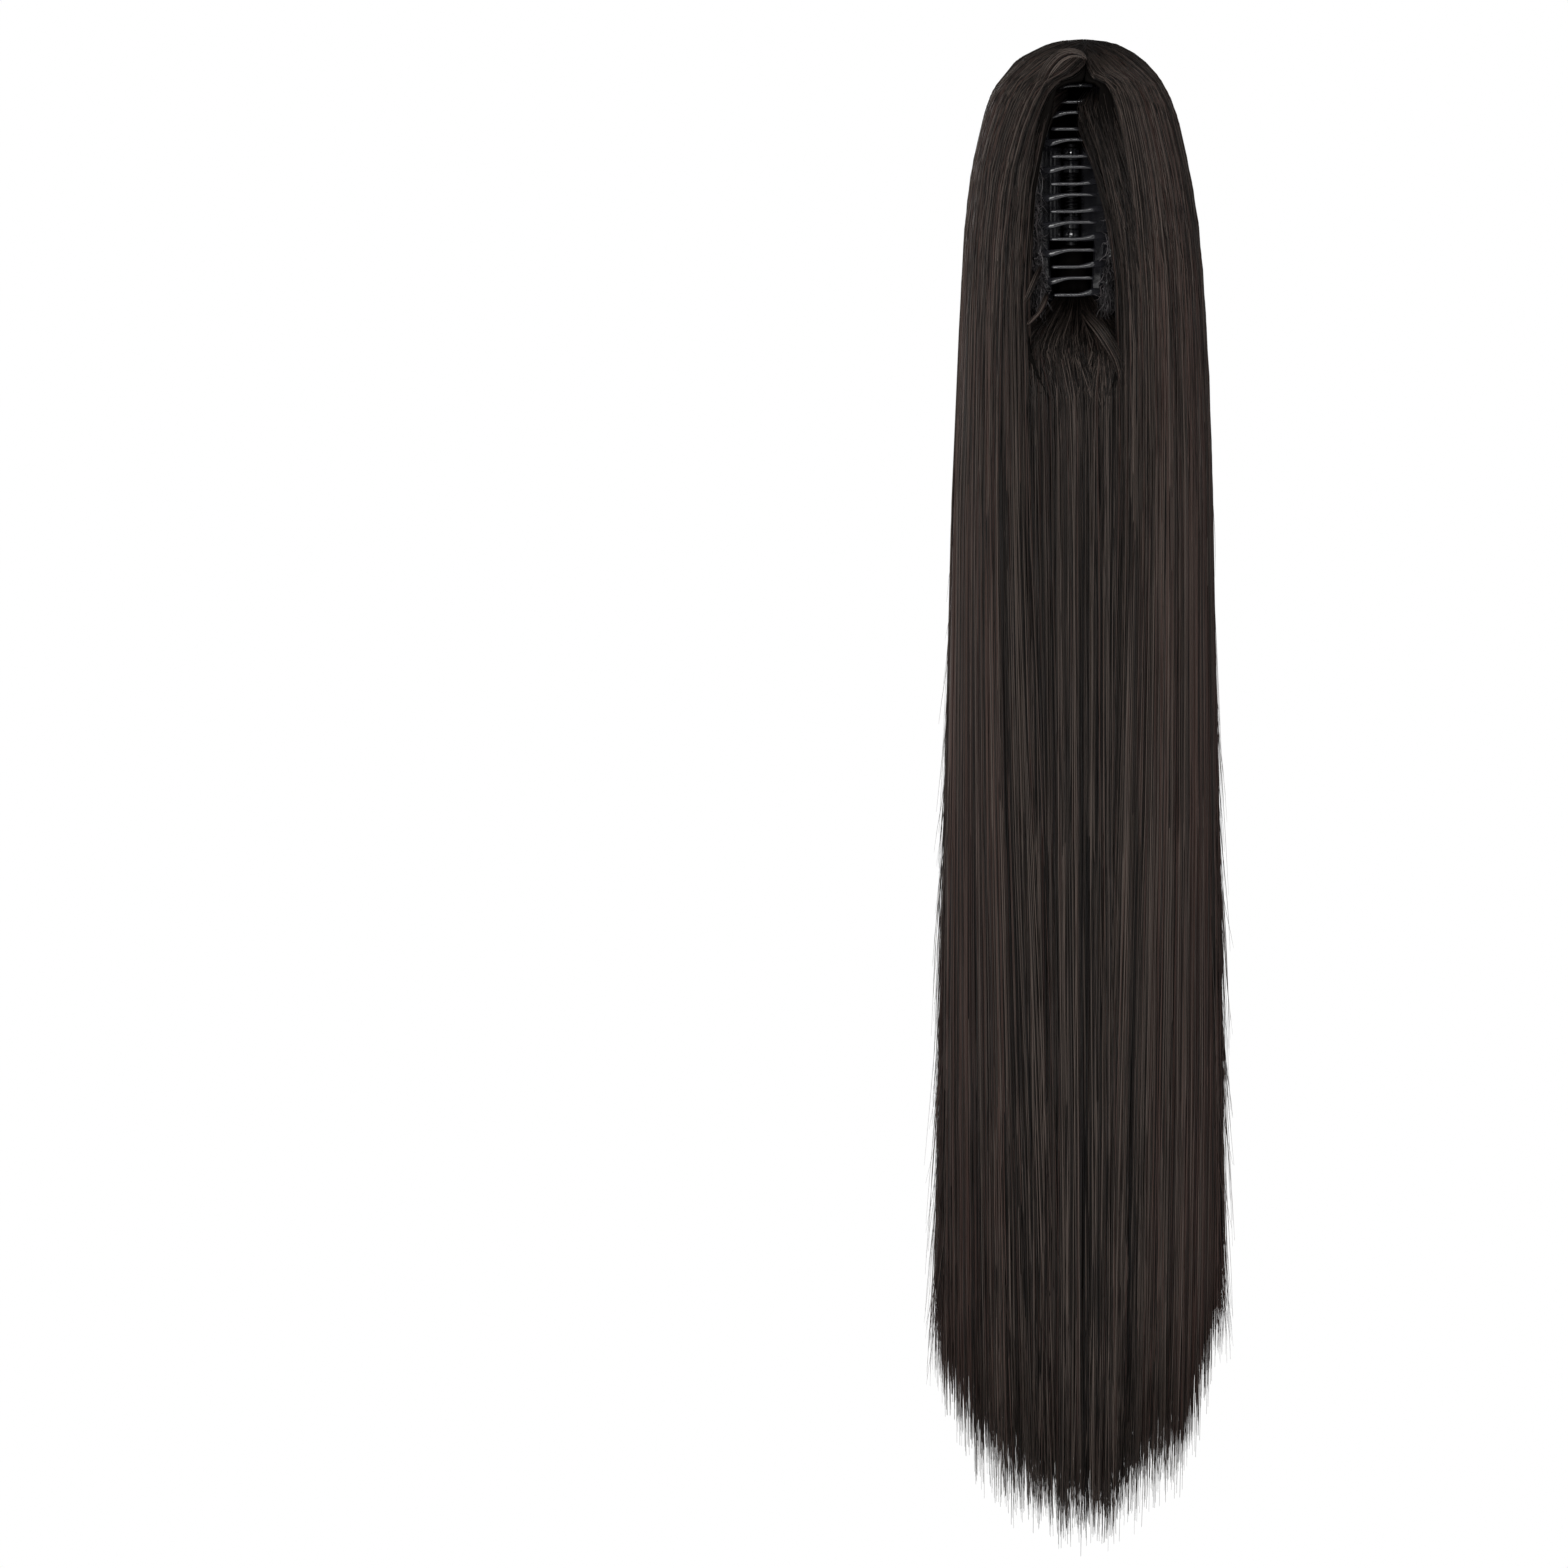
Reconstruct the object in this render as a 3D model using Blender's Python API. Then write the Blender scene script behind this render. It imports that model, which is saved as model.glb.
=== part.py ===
"""Long straight ponytail hairpiece on a claw clip, hanging as it is worn.

Metres, +Z up. The wearer's side, with the claw's teeth, faces -Y, and the
outer cover hair faces +Y. The origin is the middle of the claw's grip space.
"""
import math
from collections import namedtuple

import bmesh
import bpy
from mathutils import Matrix, Vector

# Hair
HAIR_LENGTH = 0.660
HAIR_WIDTH = 0.128
CLIP_DEPTH = 0.097
FALL_DEPTH = 0.060
CROWN_COVER = 0.021
HOOD_SKIRT = 0.055
CROWN_Y = 0.006
PARTING_X = 0.005
LOCK_COUNT = 22
LOCK_RELIEF = 0.0018
TIP_LOCK_COUNT = 18
TIP_LOCK_RADIUS = 0.0075
TIP_LOCK_LENGTH = 0.115
TIP_LOCK_BEND = 0.004
CURL_LENGTH = 0.016
CURL_RADIUS = 0.0034

# Claw
CLAW_LENGTH = 0.094
CLAW_WIDTH = 0.037
CLAW_DEPTH = 0.040
TEETH_PER_JAW = 8
TOOTH_MARGIN = 0.002
TOOTH_HEIGHT = 0.0034
TOOTH_TILT = 0.0014
JAW_WALL = 0.0024
PIN_Y = 0.014
PIN_RADIUS = 0.0015
PIN_HEAD_RADIUS = 0.0026
PIN_HEAD_HEIGHT = 0.0012
KNUCKLE_RADIUS = 0.0036
KNUCKLE_HEIGHT = 0.0054
SPRING_LENGTH = 0.0185
SPRING_WIRE = 0.0011
LEVER_REACH = 0.022
LEVER_SPREAD = 0.0155
LEVER_HEIGHT = 0.034
LEVER_LAP = 0.001
WEB_THICKNESS = 0.004
OPEN_ANGLE = math.radians(30.0)

# Wefts and netting
WEFT_THICKNESS = 0.0025
WEFT_HEIGHT = 0.086

# Room between pieces
GAP = 0.0003
SWING_ROOM = 0.0018
ROOT_RADIUS = 0.006
ROOT_WALL = 0.002
NECK_LENGTH = 0.004
BITE = 0.0001

HALF_CLAW = CLAW_LENGTH / 2
TOOTH_PITCH = (CLAW_LENGTH - 2 * TOOTH_MARGIN) / (TEETH_PER_JAW - 0.5)
CROWN_Z = HALF_CLAW + CROWN_COVER
HOOD_HEIGHT = CROWN_COVER + CLAW_LENGTH + HOOD_SKIRT
FALL_LENGTH = HAIR_LENGTH - HOOD_HEIGHT
SEAM_Y = PIN_Y - ROOT_RADIUS - ROOT_WALL
PIN_TOP = SPRING_LENGTH / 2 + 2 * KNUCKLE_HEIGHT + 3 * GAP

# Hood sections: down is a share of the hood's height, left and right are
# shares of the hair's width, front and back of the depth at the clip.
Section = namedtuple("Section", "down left right front back")
HOOD = (
    Section(0.016, 0.089, 0.161, 0.124, 0.247),
    Section(0.057, 0.191, 0.243, 0.258, 0.371),
    Section(0.099, 0.236, 0.295, 0.330, 0.443),
    Section(0.181, 0.298, 0.352, 0.397, 0.515),
    Section(0.264, 0.325, 0.380, 0.423, 0.546),
    Section(0.366, 0.352, 0.411, 0.433, 0.567),
    Section(0.521, 0.373, 0.441, 0.428, 0.562),
    Section(0.727, 0.387, 0.462, 0.397, 0.521),
    Section(1.000, 0.400, 0.478, 0.351, 0.443),
)

# Fall sections: down is a share of the length below the hood, front and back
# are shares of the fall's depth.
FALL = (
    Section(0.067, 0.414, 0.486, 0.533, 0.650),
    Section(0.245, 0.428, 0.496, 0.483, 0.567),
    Section(0.424, 0.448, 0.514, 0.467, 0.533),
    Section(0.602, 0.457, 0.516, 0.467, 0.517),
    Section(0.692, 0.461, 0.510, 0.458, 0.500),
    Section(0.782, 0.432, 0.488, 0.417, 0.450),
    Section(0.833, 0.365, 0.425, 0.340, 0.370),
    Section(0.884, 0.250, 0.320, 0.240, 0.260),
    Section(0.925, 0.110, 0.190, 0.130, 0.150),
)

# The hollow round the claw: up is a share of half the claw's length, side is
# a share of the claw's swing to each side, front and back are shares of its
# reach in front of and behind the pin.
Hollow = namedtuple("Hollow", "up side front back")
HOLLOW = (
    Hollow(1.130, 0.30, 0.28, 0.36),
    Hollow(1.060, 0.70, 0.72, 0.62),
    Hollow(0.860, 0.88, 0.90, 0.84),
    Hollow(0.550, 0.97, 0.99, 0.98),
    Hollow(0.100, 1.00, 1.00, 1.00),
    Hollow(-0.550, 1.00, 1.00, 1.00),
    Hollow(-0.960, 0.94, 0.96, 0.90),
    Hollow(-1.180, 0.78, 0.80, 0.70),
    Hollow(-1.300, 0.36, 0.40, 0.36),
)

# The slit in front: up is a share of half the claw's length, left and right
# are shares of the claw's width from its middle.
Slit = namedtuple("Slit", "up left right")
SLIT = (
    Slit(1.120, 0.00, 0.16),
    Slit(1.060, 0.14, 0.33),
    Slit(0.960, 0.20, 0.37),
    Slit(0.700, 0.26, 0.26),
    Slit(0.490, 0.34, 0.19),
    Slit(0.260, 0.40, 0.21),
    Slit(0.020, 0.45, 0.30),
    Slit(-0.250, 0.50, 0.39),
    Slit(-0.530, 0.53, 0.45),
    Slit(-0.900, 0.57, 0.48),
    Slit(-1.400, 0.55, 0.54),
    Slit(-1.700, 0.42, 0.46),
    Slit(-2.020, 0.22, 0.34),
    Slit(-2.340, 0.03, 0.23),
    Slit(-2.640, -0.10, 0.16),
)

# The inner hair: up is a share of half the claw's length, side of the claw's
# width, front and back of the depth at the clip.
Inner = namedtuple("Inner", "up side front back")
INNER = (
    Inner(-1.030, 0.20, -0.062, 0.22),
    Inner(-1.180, 0.44, 0.10, 0.22),
    Inner(-1.400, 0.62, 0.26, 0.22),
    Inner(-1.700, 0.62, 0.335, 0.20),
    Inner(-2.150, 0.50, 0.330, 0.17),
    Inner(-2.700, 0.32, 0.260, 0.10),
    Inner(-3.300, 0.10, 0.120, 0.02),
)

# One jaw seen from above, from the lever round to the tooth tips: out is a
# share of half the claw's width, forward is a share of the claw's depth.
Profile = namedtuple("Profile", "out forward")
PLATE = (
    Profile(0.33, -0.120),
    Profile(0.29, 0.000),
    Profile(0.36, 0.100),
    Profile(0.58, 0.170),
    Profile(0.88, 0.320),
    Profile(0.97, 0.460),
    Profile(0.99, 0.580),
)
TOOTH = (
    Profile(0.985, 0.540),
    Profile(0.97, 0.720),
    Profile(0.86, 0.850),
    Profile(0.66, 0.940),
    Profile(0.36, 0.985),
    Profile(0.00, 1.000),
    Profile(-0.36, 0.995),
    Profile(-0.57, 0.975),
)


def clear_scene():
    """Remove every object, so that the script starts from nothing."""
    for old in list(bpy.data.objects):
        bpy.data.objects.remove(old, do_unlink=True)


def make_material(name, color, roughness, metallic=0.0):
    """A Principled BSDF material with one colour."""
    material = bpy.data.materials.new(name)
    material.use_nodes = True
    shader = material.node_tree.nodes["Principled BSDF"]
    shader.inputs["Base Color"].default_value = (*color, 1.0)
    shader.inputs["Roughness"].default_value = roughness
    shader.inputs["Metallic"].default_value = metallic
    return material


def add_object(name, bm, material=None):
    """Turn a bmesh into an object whose faces point outwards."""
    bmesh.ops.recalc_face_normals(bm, faces=bm.faces)
    mesh = bpy.data.meshes.new(name)
    bm.to_mesh(mesh)
    bm.free()
    piece = bpy.data.objects.new(name, mesh)
    bpy.context.collection.objects.link(piece)
    if material:
        mesh.materials.append(material)
    return piece


def loft(name, rings, material=None, first_tip=None, last_tip=None):
    """Close a solid over rings of points, with a flat or pointed end."""
    bm = bmesh.new()
    loops = [[bm.verts.new(point) for point in ring] for ring in rings]
    count = len(loops[0])
    for upper, lower in zip(loops, loops[1:]):
        for i in range(count):
            j = (i + 1) % count
            bm.faces.new((upper[i], upper[j], lower[j], lower[i]))
    for ring, tip in ((loops[0], first_tip), (loops[-1], last_tip)):
        if tip is None:
            bm.faces.new(ring)
            continue
        apex = bm.verts.new(tip)
        for i in range(count):
            bm.faces.new((ring[i], ring[(i + 1) % count], apex))
    return add_object(name, bm, material)


def combine(piece, tool, operation):
    """Cut or join one solid with another, which is used up."""
    change = piece.modifiers.new("Change", "BOOLEAN")
    change.operation = operation
    change.solver = "EXACT"
    change.object = tool
    evaluated = piece.evaluated_get(bpy.context.evaluated_depsgraph_get())
    result = bpy.data.meshes.new_from_object(evaluated)
    piece.modifiers.remove(change)
    old = piece.data
    piece.data = result
    bpy.data.meshes.remove(old)
    bpy.data.objects.remove(tool, do_unlink=True)


def duplicate(piece, name):
    """A copy of a piece with its own mesh."""
    copy = bpy.data.objects.new(name, piece.data.copy())
    bpy.context.collection.objects.link(copy)
    return copy


def box(name, low, high):
    """A block between two corners."""
    bm = bmesh.new()
    bmesh.ops.create_cube(bm, size=1.0)
    size = [b - a for a, b in zip(low, high)]
    middle = [(a + b) / 2 for a, b in zip(low, high)]
    placed = Matrix.Translation(middle) @ Matrix.Diagonal((*size, 1.0))
    bmesh.ops.transform(bm, matrix=placed, verts=bm.verts)
    return add_object(name, bm)


def cylinder(name, x, y, low, high, radius, sides=16):
    """An upright cylinder between two heights."""
    rings = []
    for z in (low, high):
        turns = [math.tau * i / sides for i in range(sides)]
        rings.append([Vector((x + radius * math.cos(a), y + radius * math.sin(a), z))
                      for a in turns])
    return loft(name, rings)


def hermite(rows, at):
    """Read a smooth curve through rows, whose first value is the place."""
    if at <= rows[0][0]:
        return rows[0][1:]
    if at >= rows[-1][0]:
        return rows[-1][1:]
    k = 0
    while rows[k + 1][0] < at:
        k += 1
    span = rows[k + 1][0] - rows[k][0]
    t = (at - rows[k][0]) / span
    values = []
    for c in range(1, len(rows[0])):
        slopes = []
        for m in (k, k + 1):
            before = rows[max(m - 1, 0)]
            after = rows[min(m + 1, len(rows) - 1)]
            slopes.append((after[c] - before[c]) / (after[0] - before[0]) * span)
        a = rows[k][c]
        b = rows[k + 1][c]
        values.append((2 * t ** 3 - 3 * t ** 2 + 1) * a + (t ** 3 - 2 * t ** 2 + t) * slopes[0]
                      + (3 * t ** 2 - 2 * t ** 3) * b + (t ** 3 - t ** 2) * slopes[1])
    return values


def hair_rows():
    """All hair sections as depth below the crown and four reaches."""
    rows = [(s.down * HOOD_HEIGHT, s.left * HAIR_WIDTH, s.right * HAIR_WIDTH,
             s.front * CLIP_DEPTH, s.back * CLIP_DEPTH) for s in HOOD]
    rows += [(HOOD_HEIGHT + s.down * FALL_LENGTH, s.left * HAIR_WIDTH,
              s.right * HAIR_WIDTH, s.front * FALL_DEPTH, s.back * FALL_DEPTH)
             for s in FALL]
    return rows


def rounded(angle, left, right, front, back, power=2.25):
    """A point on a rounded section with four different reaches."""
    c = math.cos(angle)
    s = math.sin(angle)
    x = math.copysign(abs(c) ** (2 / power), c) * (right if c > 0 else left)
    y = math.copysign(abs(s) ** (2 / power), s) * (back if s > 0 else front)
    return x, y


def hair_mass():
    """The whole hair as one solid, with shallow locks down its outside."""
    rows = hair_rows()
    hood_steps = 12
    fall_steps = 14
    depths = [rows[0][0] + (HOOD_HEIGHT - rows[0][0]) * (k / hood_steps) ** 1.35
              for k in range(hood_steps)]
    end = rows[-1][0]
    depths += [HOOD_HEIGHT + (end - HOOD_HEIGHT) * (1 - (1 - k / fall_steps) ** 1.25)
               for k in range(fall_steps + 1)]
    rings = []
    points_per_lock = 3
    count = LOCK_COUNT * points_per_lock
    for depth in depths:
        left, right, front, back = hermite(rows, depth)
        share = depth / HAIR_LENGTH
        relief = LOCK_RELIEF * min(1.0, depth / CROWN_COVER) * (1 + share)
        ring = []
        for i in range(count):
            lock, part = divmod(i, points_per_lock)
            drift = 0.22 * math.sin(7.0 * share + 1.9 * lock)
            angle = math.tau * (lock + (part + drift) / points_per_lock) / LOCK_COUNT
            x, y = rounded(angle, left, right, front, back)
            inset = relief * (1.0 if part == 0 else 0.0)
            reach = math.hypot(x, y)
            keep = 1 - min(inset / reach, 0.5)
            ring.append(Vector((x * keep, y * keep, CROWN_Z - depth)))
        rings.append(ring)
    middle = (rows[0][2] - rows[0][1]) / 2
    crown = Vector((middle, CROWN_Y, CROWN_Z))
    tip = Vector((middle, 0.0, CROWN_Z - end - 0.01 * FALL_LENGTH))
    return loft("hair_mass", rings, None, crown, tip)


def taper_lock(name, path, radii, flat=0.75, sides=6):
    """A lock of hair: a tube along a path that narrows to its radii."""
    rings = []
    for k, (point, radius) in enumerate(zip(path, radii)):
        before = path[max(k - 1, 0)]
        after = path[min(k + 1, len(path) - 1)]
        along = (after - before).normalized()
        across = along.cross(Vector((0, 1, 0))).normalized()
        depth = along.cross(across)
        ring = []
        for i in range(sides):
            a = math.tau * i / sides
            ring.append(point + across * (radius * math.cos(a))
                        + depth * (radius * flat * math.sin(a)))
        rings.append(ring)
    return loft(name, rings)


def tip_lock(number):
    """One pointed lock of the lower end, and the middle of its root."""
    side = 2 * number / (TIP_LOCK_COUNT - 1) - 1
    layer = (-1.0, 1.0, -0.62)[number % 3]
    drop = 1 - 0.13 * abs(side) ** 3 - 0.03 * (number % 2)
    tip_z = CROWN_Z - HAIR_LENGTH * drop
    middle = 0.5 * (HOOD[-1].right - HOOD[-1].left) * HAIR_WIDTH
    x = middle + 0.43 * HAIR_WIDTH * side
    y = SEAM_Y + FALL_DEPTH * layer * (0.17 + 0.13 * (1 - side * side))
    path = []
    radii = []
    steps = 5
    for k in range(steps):
        t = k / (steps - 1)
        inward = 0.08 * (1 - t) * (x - middle)
        bend = TIP_LOCK_BEND * math.sin(2.4 * number) * t * t
        path.append(Vector((x - inward + bend, y + (SEAM_Y - y) * 0.25 * t,
                            tip_z + TIP_LOCK_LENGTH * (1 - t))))
        radii.append(TIP_LOCK_RADIUS * (1 - 0.92 * t ** 1.8))
    return taper_lock("tip_lock", path, radii), path[0]


def hollow_solid():
    """The room inside the hood in which the jaws swing."""
    side = CLAW_WIDTH / 2 + CLAW_DEPTH * math.sin(OPEN_ANGLE) * 0.72 + 3 * SWING_ROOM
    forward = CLAW_DEPTH - PIN_Y + 3.4 * SWING_ROOM
    behind = math.hypot(LEVER_REACH, LEVER_SPREAD) + PIN_Y + 2 * SWING_ROOM
    rings = []
    for row in HOLLOW:
        ring = []
        for i in range(20):
            x, y = rounded(math.tau * i / 20, side * row.side, side * row.side,
                           forward * row.front, behind * row.back, 2.35)
            ring.append(Vector((x, y, row.up * HALF_CLAW)))
        rings.append(ring)
    return loft("hollow", rings)


def slit_solid():
    """A prism with the slit's outline, through the front wall only."""
    left = [(-row.left * CLAW_WIDTH, row.up * HALF_CLAW) for row in SLIT]
    right = [(row.right * CLAW_WIDTH, row.up * HALF_CLAW) for row in reversed(SLIT)]
    rings = []
    for y in (-CLIP_DEPTH, -0.40 * CLAW_DEPTH):
        rings.append([Vector((x, y, z)) for x, z in left + right])
    return loft("slit", rings)


def inner_solid(name, grow, material=None):
    """The inner hair, from the pin's lower end down into the fall."""
    rings = []
    sides = 18
    top = -PIN_TOP - PIN_HEAD_HEIGHT - GAP + grow
    neck = ((top, ROOT_RADIUS * 0.7), (top - NECK_LENGTH, ROOT_RADIUS))
    for z, radius in neck:
        rings.append([Vector((-(radius + grow) * math.cos(math.tau * i / sides),
                              PIN_Y - (radius + grow) * math.sin(math.tau * i / sides), z))
                      for i in range(sides)])
    for row in INNER:
        shift = PARTING_X * min(1.0, -row.up / 2.7)
        ring = []
        for i in range(sides):
            x, y = rounded(math.tau * i / sides, 1, 1, 1, 1, 2.2)
            valley = LOCK_RELIEF if i % 3 == 0 else 0.0
            depth = 0.5 * (row.front + row.back) * CLIP_DEPTH
            middle = 0.5 * (row.back - row.front) * CLIP_DEPTH
            ring.append(Vector((shift - x * (row.side * CLAW_WIDTH - valley + grow),
                                middle - y * (depth - valley + grow),
                                row.up * HALF_CLAW - (grow if row is INNER[-1] else 0))))
        rings.append(ring)
    return loft(name, rings, material)


def parting_curl():
    """The small lock that curls down over the slit from the parting."""
    path = []
    radii = []
    for t in (0.0, 0.25, 0.5, 0.75, 1.0):
        depth = CROWN_COVER * (0.38 + 0.62 * t)
        front = hermite(hair_rows(), depth)[2]
        x = PARTING_X - CURL_LENGTH * (0.22 + 0.78 * t)
        path.append(Vector((x, -front * (0.90 + 0.02 * t), CROWN_Z - depth)))
        radii.append(CURL_RADIUS * (0.35 + 0.65 * math.sin(math.pi * (0.15 + 0.8 * t))))
    return taper_lock("parting_curl", path, radii, 0.9, 8)


def make_hair(material, inner_material):
    """The outer hair in three long sections, and the inner hair."""
    mass = hair_mass()
    combine(mass, hollow_solid(), "DIFFERENCE")
    combine(mass, slit_solid(), "DIFFERENCE")
    combine(mass, inner_solid("room", 3 * GAP), "DIFFERENCE")
    far = HAIR_LENGTH
    half = GAP / 2
    regions = {
        "cover_hair": ((-far, SEAM_Y + half, -far), (far, far, far)),
        "side_hair_left": ((-far, -far, -far), (PARTING_X - half, SEAM_Y - half, far)),
        "side_hair_right": ((PARTING_X + half, -far, -far), (far, SEAM_Y - half, far)),
    }
    for name, (low, high) in regions.items():
        section = duplicate(mass, name)
        combine(section, box("region", low, high), "INTERSECT")
        for number in range(TIP_LOCK_COUNT):
            lock, root = tip_lock(number)
            if not (low[0] < root.x < high[0] and low[1] < root.y < high[1]):
                bpy.data.objects.remove(lock, do_unlink=True)
                continue
            combine(lock, box("region", low, high), "INTERSECT")
            combine(section, lock, "UNION")
        if name == "cover_hair":
            root = cylinder("root", 0.0, PIN_Y, PIN_TOP + PIN_HEAD_HEIGHT + GAP,
                            HALF_CLAW + 0.5 * CROWN_COVER, ROOT_RADIUS, 12)
            combine(section, root, "UNION")
        if name == "side_hair_left":
            curl = parting_curl()
            combine(curl, box("region", low, high), "INTERSECT")
            combine(section, curl, "UNION")
        section.data.materials.clear()
        section.data.materials.append(material)
    bpy.data.objects.remove(mass, do_unlink=True)
    inner_solid("inner_hair", 0.0, inner_material)


def narrowing(z):
    """How much of its full size the claw keeps at a height."""
    return 1 - 0.20 * min(1.0, abs(z) / HALF_CLAW) ** 2.5


def jaw_point(side, row, z, offset=0.0, normal=(0.0, 0.0)):
    """A point of one jaw, from above, set off along a normal."""
    keep = narrowing(z)
    x = side * (row.out * CLAW_WIDTH / 2 * keep + offset * normal[0])
    y = PIN_Y - (row.forward * CLAW_DEPTH * keep + offset * normal[1])
    return Vector((x, y, z))


def profile_normals(rows):
    """Outward directions along a jaw's profile, in the profile's own plane."""
    normals = []
    for k in range(len(rows)):
        before = rows[max(k - 1, 0)]
        after = rows[min(k + 1, len(rows) - 1)]
        dx = (after.out - before.out) * CLAW_WIDTH / 2
        dy = (after.forward - before.forward) * CLAW_DEPTH
        length = math.hypot(dx, dy)
        normals.append((dy / length, -dx / length))
    return normals


def curved_wall(name, side, rows, heights, inner, outer):
    """A wall that follows a jaw's profile, with one ring for each height."""
    normals = profile_normals(rows)
    rings = []
    for z in heights:
        ring = [jaw_point(side, row, z, outer, n) for row, n in zip(rows, normals)]
        ring += [jaw_point(side, row, z, inner, n)
                 for row, n in zip(reversed(rows), reversed(normals))]
        rings.append(ring)
    return loft(name, rings)


def tooth_bar(side, z_root):
    """One tooth, thick at its root, thin and rounded at its tip."""
    normals = profile_normals(TOOTH)
    last = len(TOOTH) - 1
    rings = []
    for k, (row, normal) in enumerate(zip(TOOTH, normals)):
        t = k / last
        z = z_root + side * TOOTH_TILT * (0.5 - t)
        high = TOOTH_HEIGHT / 2 * (1 - 0.55 * t ** 1.5)
        thick = JAW_WALL / 2 * (1 - 0.35 * t)
        ring = []
        for offset, rise in ((thick, -0.5), (thick, 0.5), (0.5 * thick, 1.0),
                             (-thick, 0.8), (-thick, -0.8), (0.5 * thick, -1.0)):
            point = jaw_point(side, row, z, offset, normal)
            point.z = z + rise * high
            ring.append(point)
        rings.append(ring)
    return loft("tooth", rings)


def lever_plate(side):
    """The thumb lever, from beside the pin to its rounded free edge."""
    start = Vector((side * PLATE[0].out * CLAW_WIDTH / 2,
                    PIN_Y - PLATE[0].forward * CLAW_DEPTH - LEVER_LAP, 0.0))
    end = Vector((side * LEVER_SPREAD, PIN_Y + LEVER_REACH, 0.0))
    along = (end - start).normalized()
    across = Vector((along.y, -along.x, 0.0)) * side
    rings = []
    for share, height in ((0.0, 1.0), (0.35, 1.0), (0.75, 0.90), (0.94, 0.72), (1.0, 0.50)):
        point = start.lerp(end, share)
        half = LEVER_HEIGHT / 2 * height
        thick = JAW_WALL / 2
        rings.append([point + across * thick + Vector((0, 0, -half)),
                      point + across * thick + Vector((0, 0, half)),
                      point - across * thick + Vector((0, 0, half)),
                      point - across * thick + Vector((0, 0, -half))])
    return loft("lever", rings)


def make_jaw(name, side, material):
    """One half of the claw: comb, hinge plate, knuckles and lever."""
    tall = [HALF_CLAW * share for share in (-1, -0.8, -0.5, 0, 0.5, 0.8, 1)]
    jaw = curved_wall(name, side, PLATE[3:], tall, -JAW_WALL / 2, JAW_WALL / 2)
    hinge_half = PIN_TOP - GAP
    hinge = curved_wall("hinge_plate", side, PLATE[:5], (-hinge_half, hinge_half),
                        BITE - JAW_WALL / 2, BITE + JAW_WALL / 2)
    combine(jaw, hinge, "UNION")
    combine(jaw, lever_plate(side), "UNION")
    first = -(TEETH_PER_JAW - 1) / 2 * TOOTH_PITCH - side * TOOTH_PITCH / 4
    for k in range(TEETH_PER_JAW):
        combine(jaw, tooth_bar(side, first + k * TOOTH_PITCH), "UNION")
    inner_end = SPRING_LENGTH / 2 + GAP
    outer_start = inner_end + KNUCKLE_HEIGHT + GAP
    for up in (-1, 1):
        low = outer_start if side < 0 else inner_end
        high = low + KNUCKLE_HEIGHT
        ends = sorted((up * low, up * high))
        knuckle = cylinder("knuckle", 0.0, PIN_Y, ends[0], ends[1], KNUCKLE_RADIUS)
        web_x = sorted((side * 0.5 * KNUCKLE_RADIUS, side * PLATE[1].out * CLAW_WIDTH / 2))
        web = box("web", (web_x[0], PIN_Y - WEB_THICKNESS / 2, ends[0] + BITE),
                  (web_x[1], PIN_Y + WEB_THICKNESS / 2, ends[1] - BITE))
        combine(knuckle, web, "UNION")
        combine(jaw, knuckle, "UNION")
    bore = cylinder("bore", 0.0, PIN_Y, -CLAW_LENGTH, CLAW_LENGTH, PIN_RADIUS + GAP)
    combine(jaw, bore, "DIFFERENCE")
    jaw.data.materials.clear()
    jaw.data.materials.append(material)


def turn_on_pin(*names):
    """Set moving pieces' origins on the pin's axis, where they turn."""
    for name in names:
        piece = bpy.data.objects[name]
        piece.data.transform(Matrix.Translation((0.0, -PIN_Y, 0.0)))
        piece.location = (0.0, PIN_Y, 0.0)


def shade_round_faces(sharp_angle):
    """Shade every piece smooth, but for its sharp edges."""
    for piece in bpy.data.objects:
        piece.data.shade_smooth()
        piece.data.set_sharp_from_angle(angle=sharp_angle)


def turned_rings(profile, sides=14):
    """Rings about the pin's axis from radius and height pairs."""
    rings = []
    for radius, z in profile:
        rings.append([Vector((radius * math.cos(math.tau * i / sides),
                              PIN_Y + radius * math.sin(math.tau * i / sides), z))
                      for i in range(sides)])
    return rings


def make_pin(material):
    """The hinge pin with a head at each end."""
    head = PIN_TOP + PIN_HEAD_HEIGHT
    profile = ((PIN_HEAD_RADIUS, -head), (PIN_HEAD_RADIUS, -PIN_TOP),
               (PIN_RADIUS, -PIN_TOP), (PIN_RADIUS, PIN_TOP),
               (PIN_HEAD_RADIUS, PIN_TOP), (PIN_HEAD_RADIUS, head))
    loft("hinge_pin", turned_rings(profile), material)


def make_spring(material):
    """The torsion spring as a ridged sleeve round the pin."""
    inner = PIN_RADIUS + GAP
    outer = inner + SPRING_WIRE
    turns = int(SPRING_LENGTH / (2.2 * SPRING_WIRE))
    pitch = SPRING_LENGTH / turns
    profile = [(inner, SPRING_LENGTH / 2), (inner, -SPRING_LENGTH / 2)]
    for k in range(turns):
        z = -SPRING_LENGTH / 2 + k * pitch
        profile.append((outer, z + 0.25 * pitch))
        profile.append((outer, z + 0.75 * pitch))
        profile.append((outer - 0.35 * SPRING_WIRE, z + pitch))
    rings = turned_rings(profile)
    bm = bmesh.new()
    loops = [[bm.verts.new(point) for point in ring] for ring in rings]
    count = len(loops[0])
    for upper, lower in zip(loops, loops[1:] + loops[:1]):
        for i in range(count):
            j = (i + 1) % count
            bm.faces.new((upper[i], upper[j], lower[j], lower[i]))
    add_object("torsion_spring", bm, material)


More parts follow.
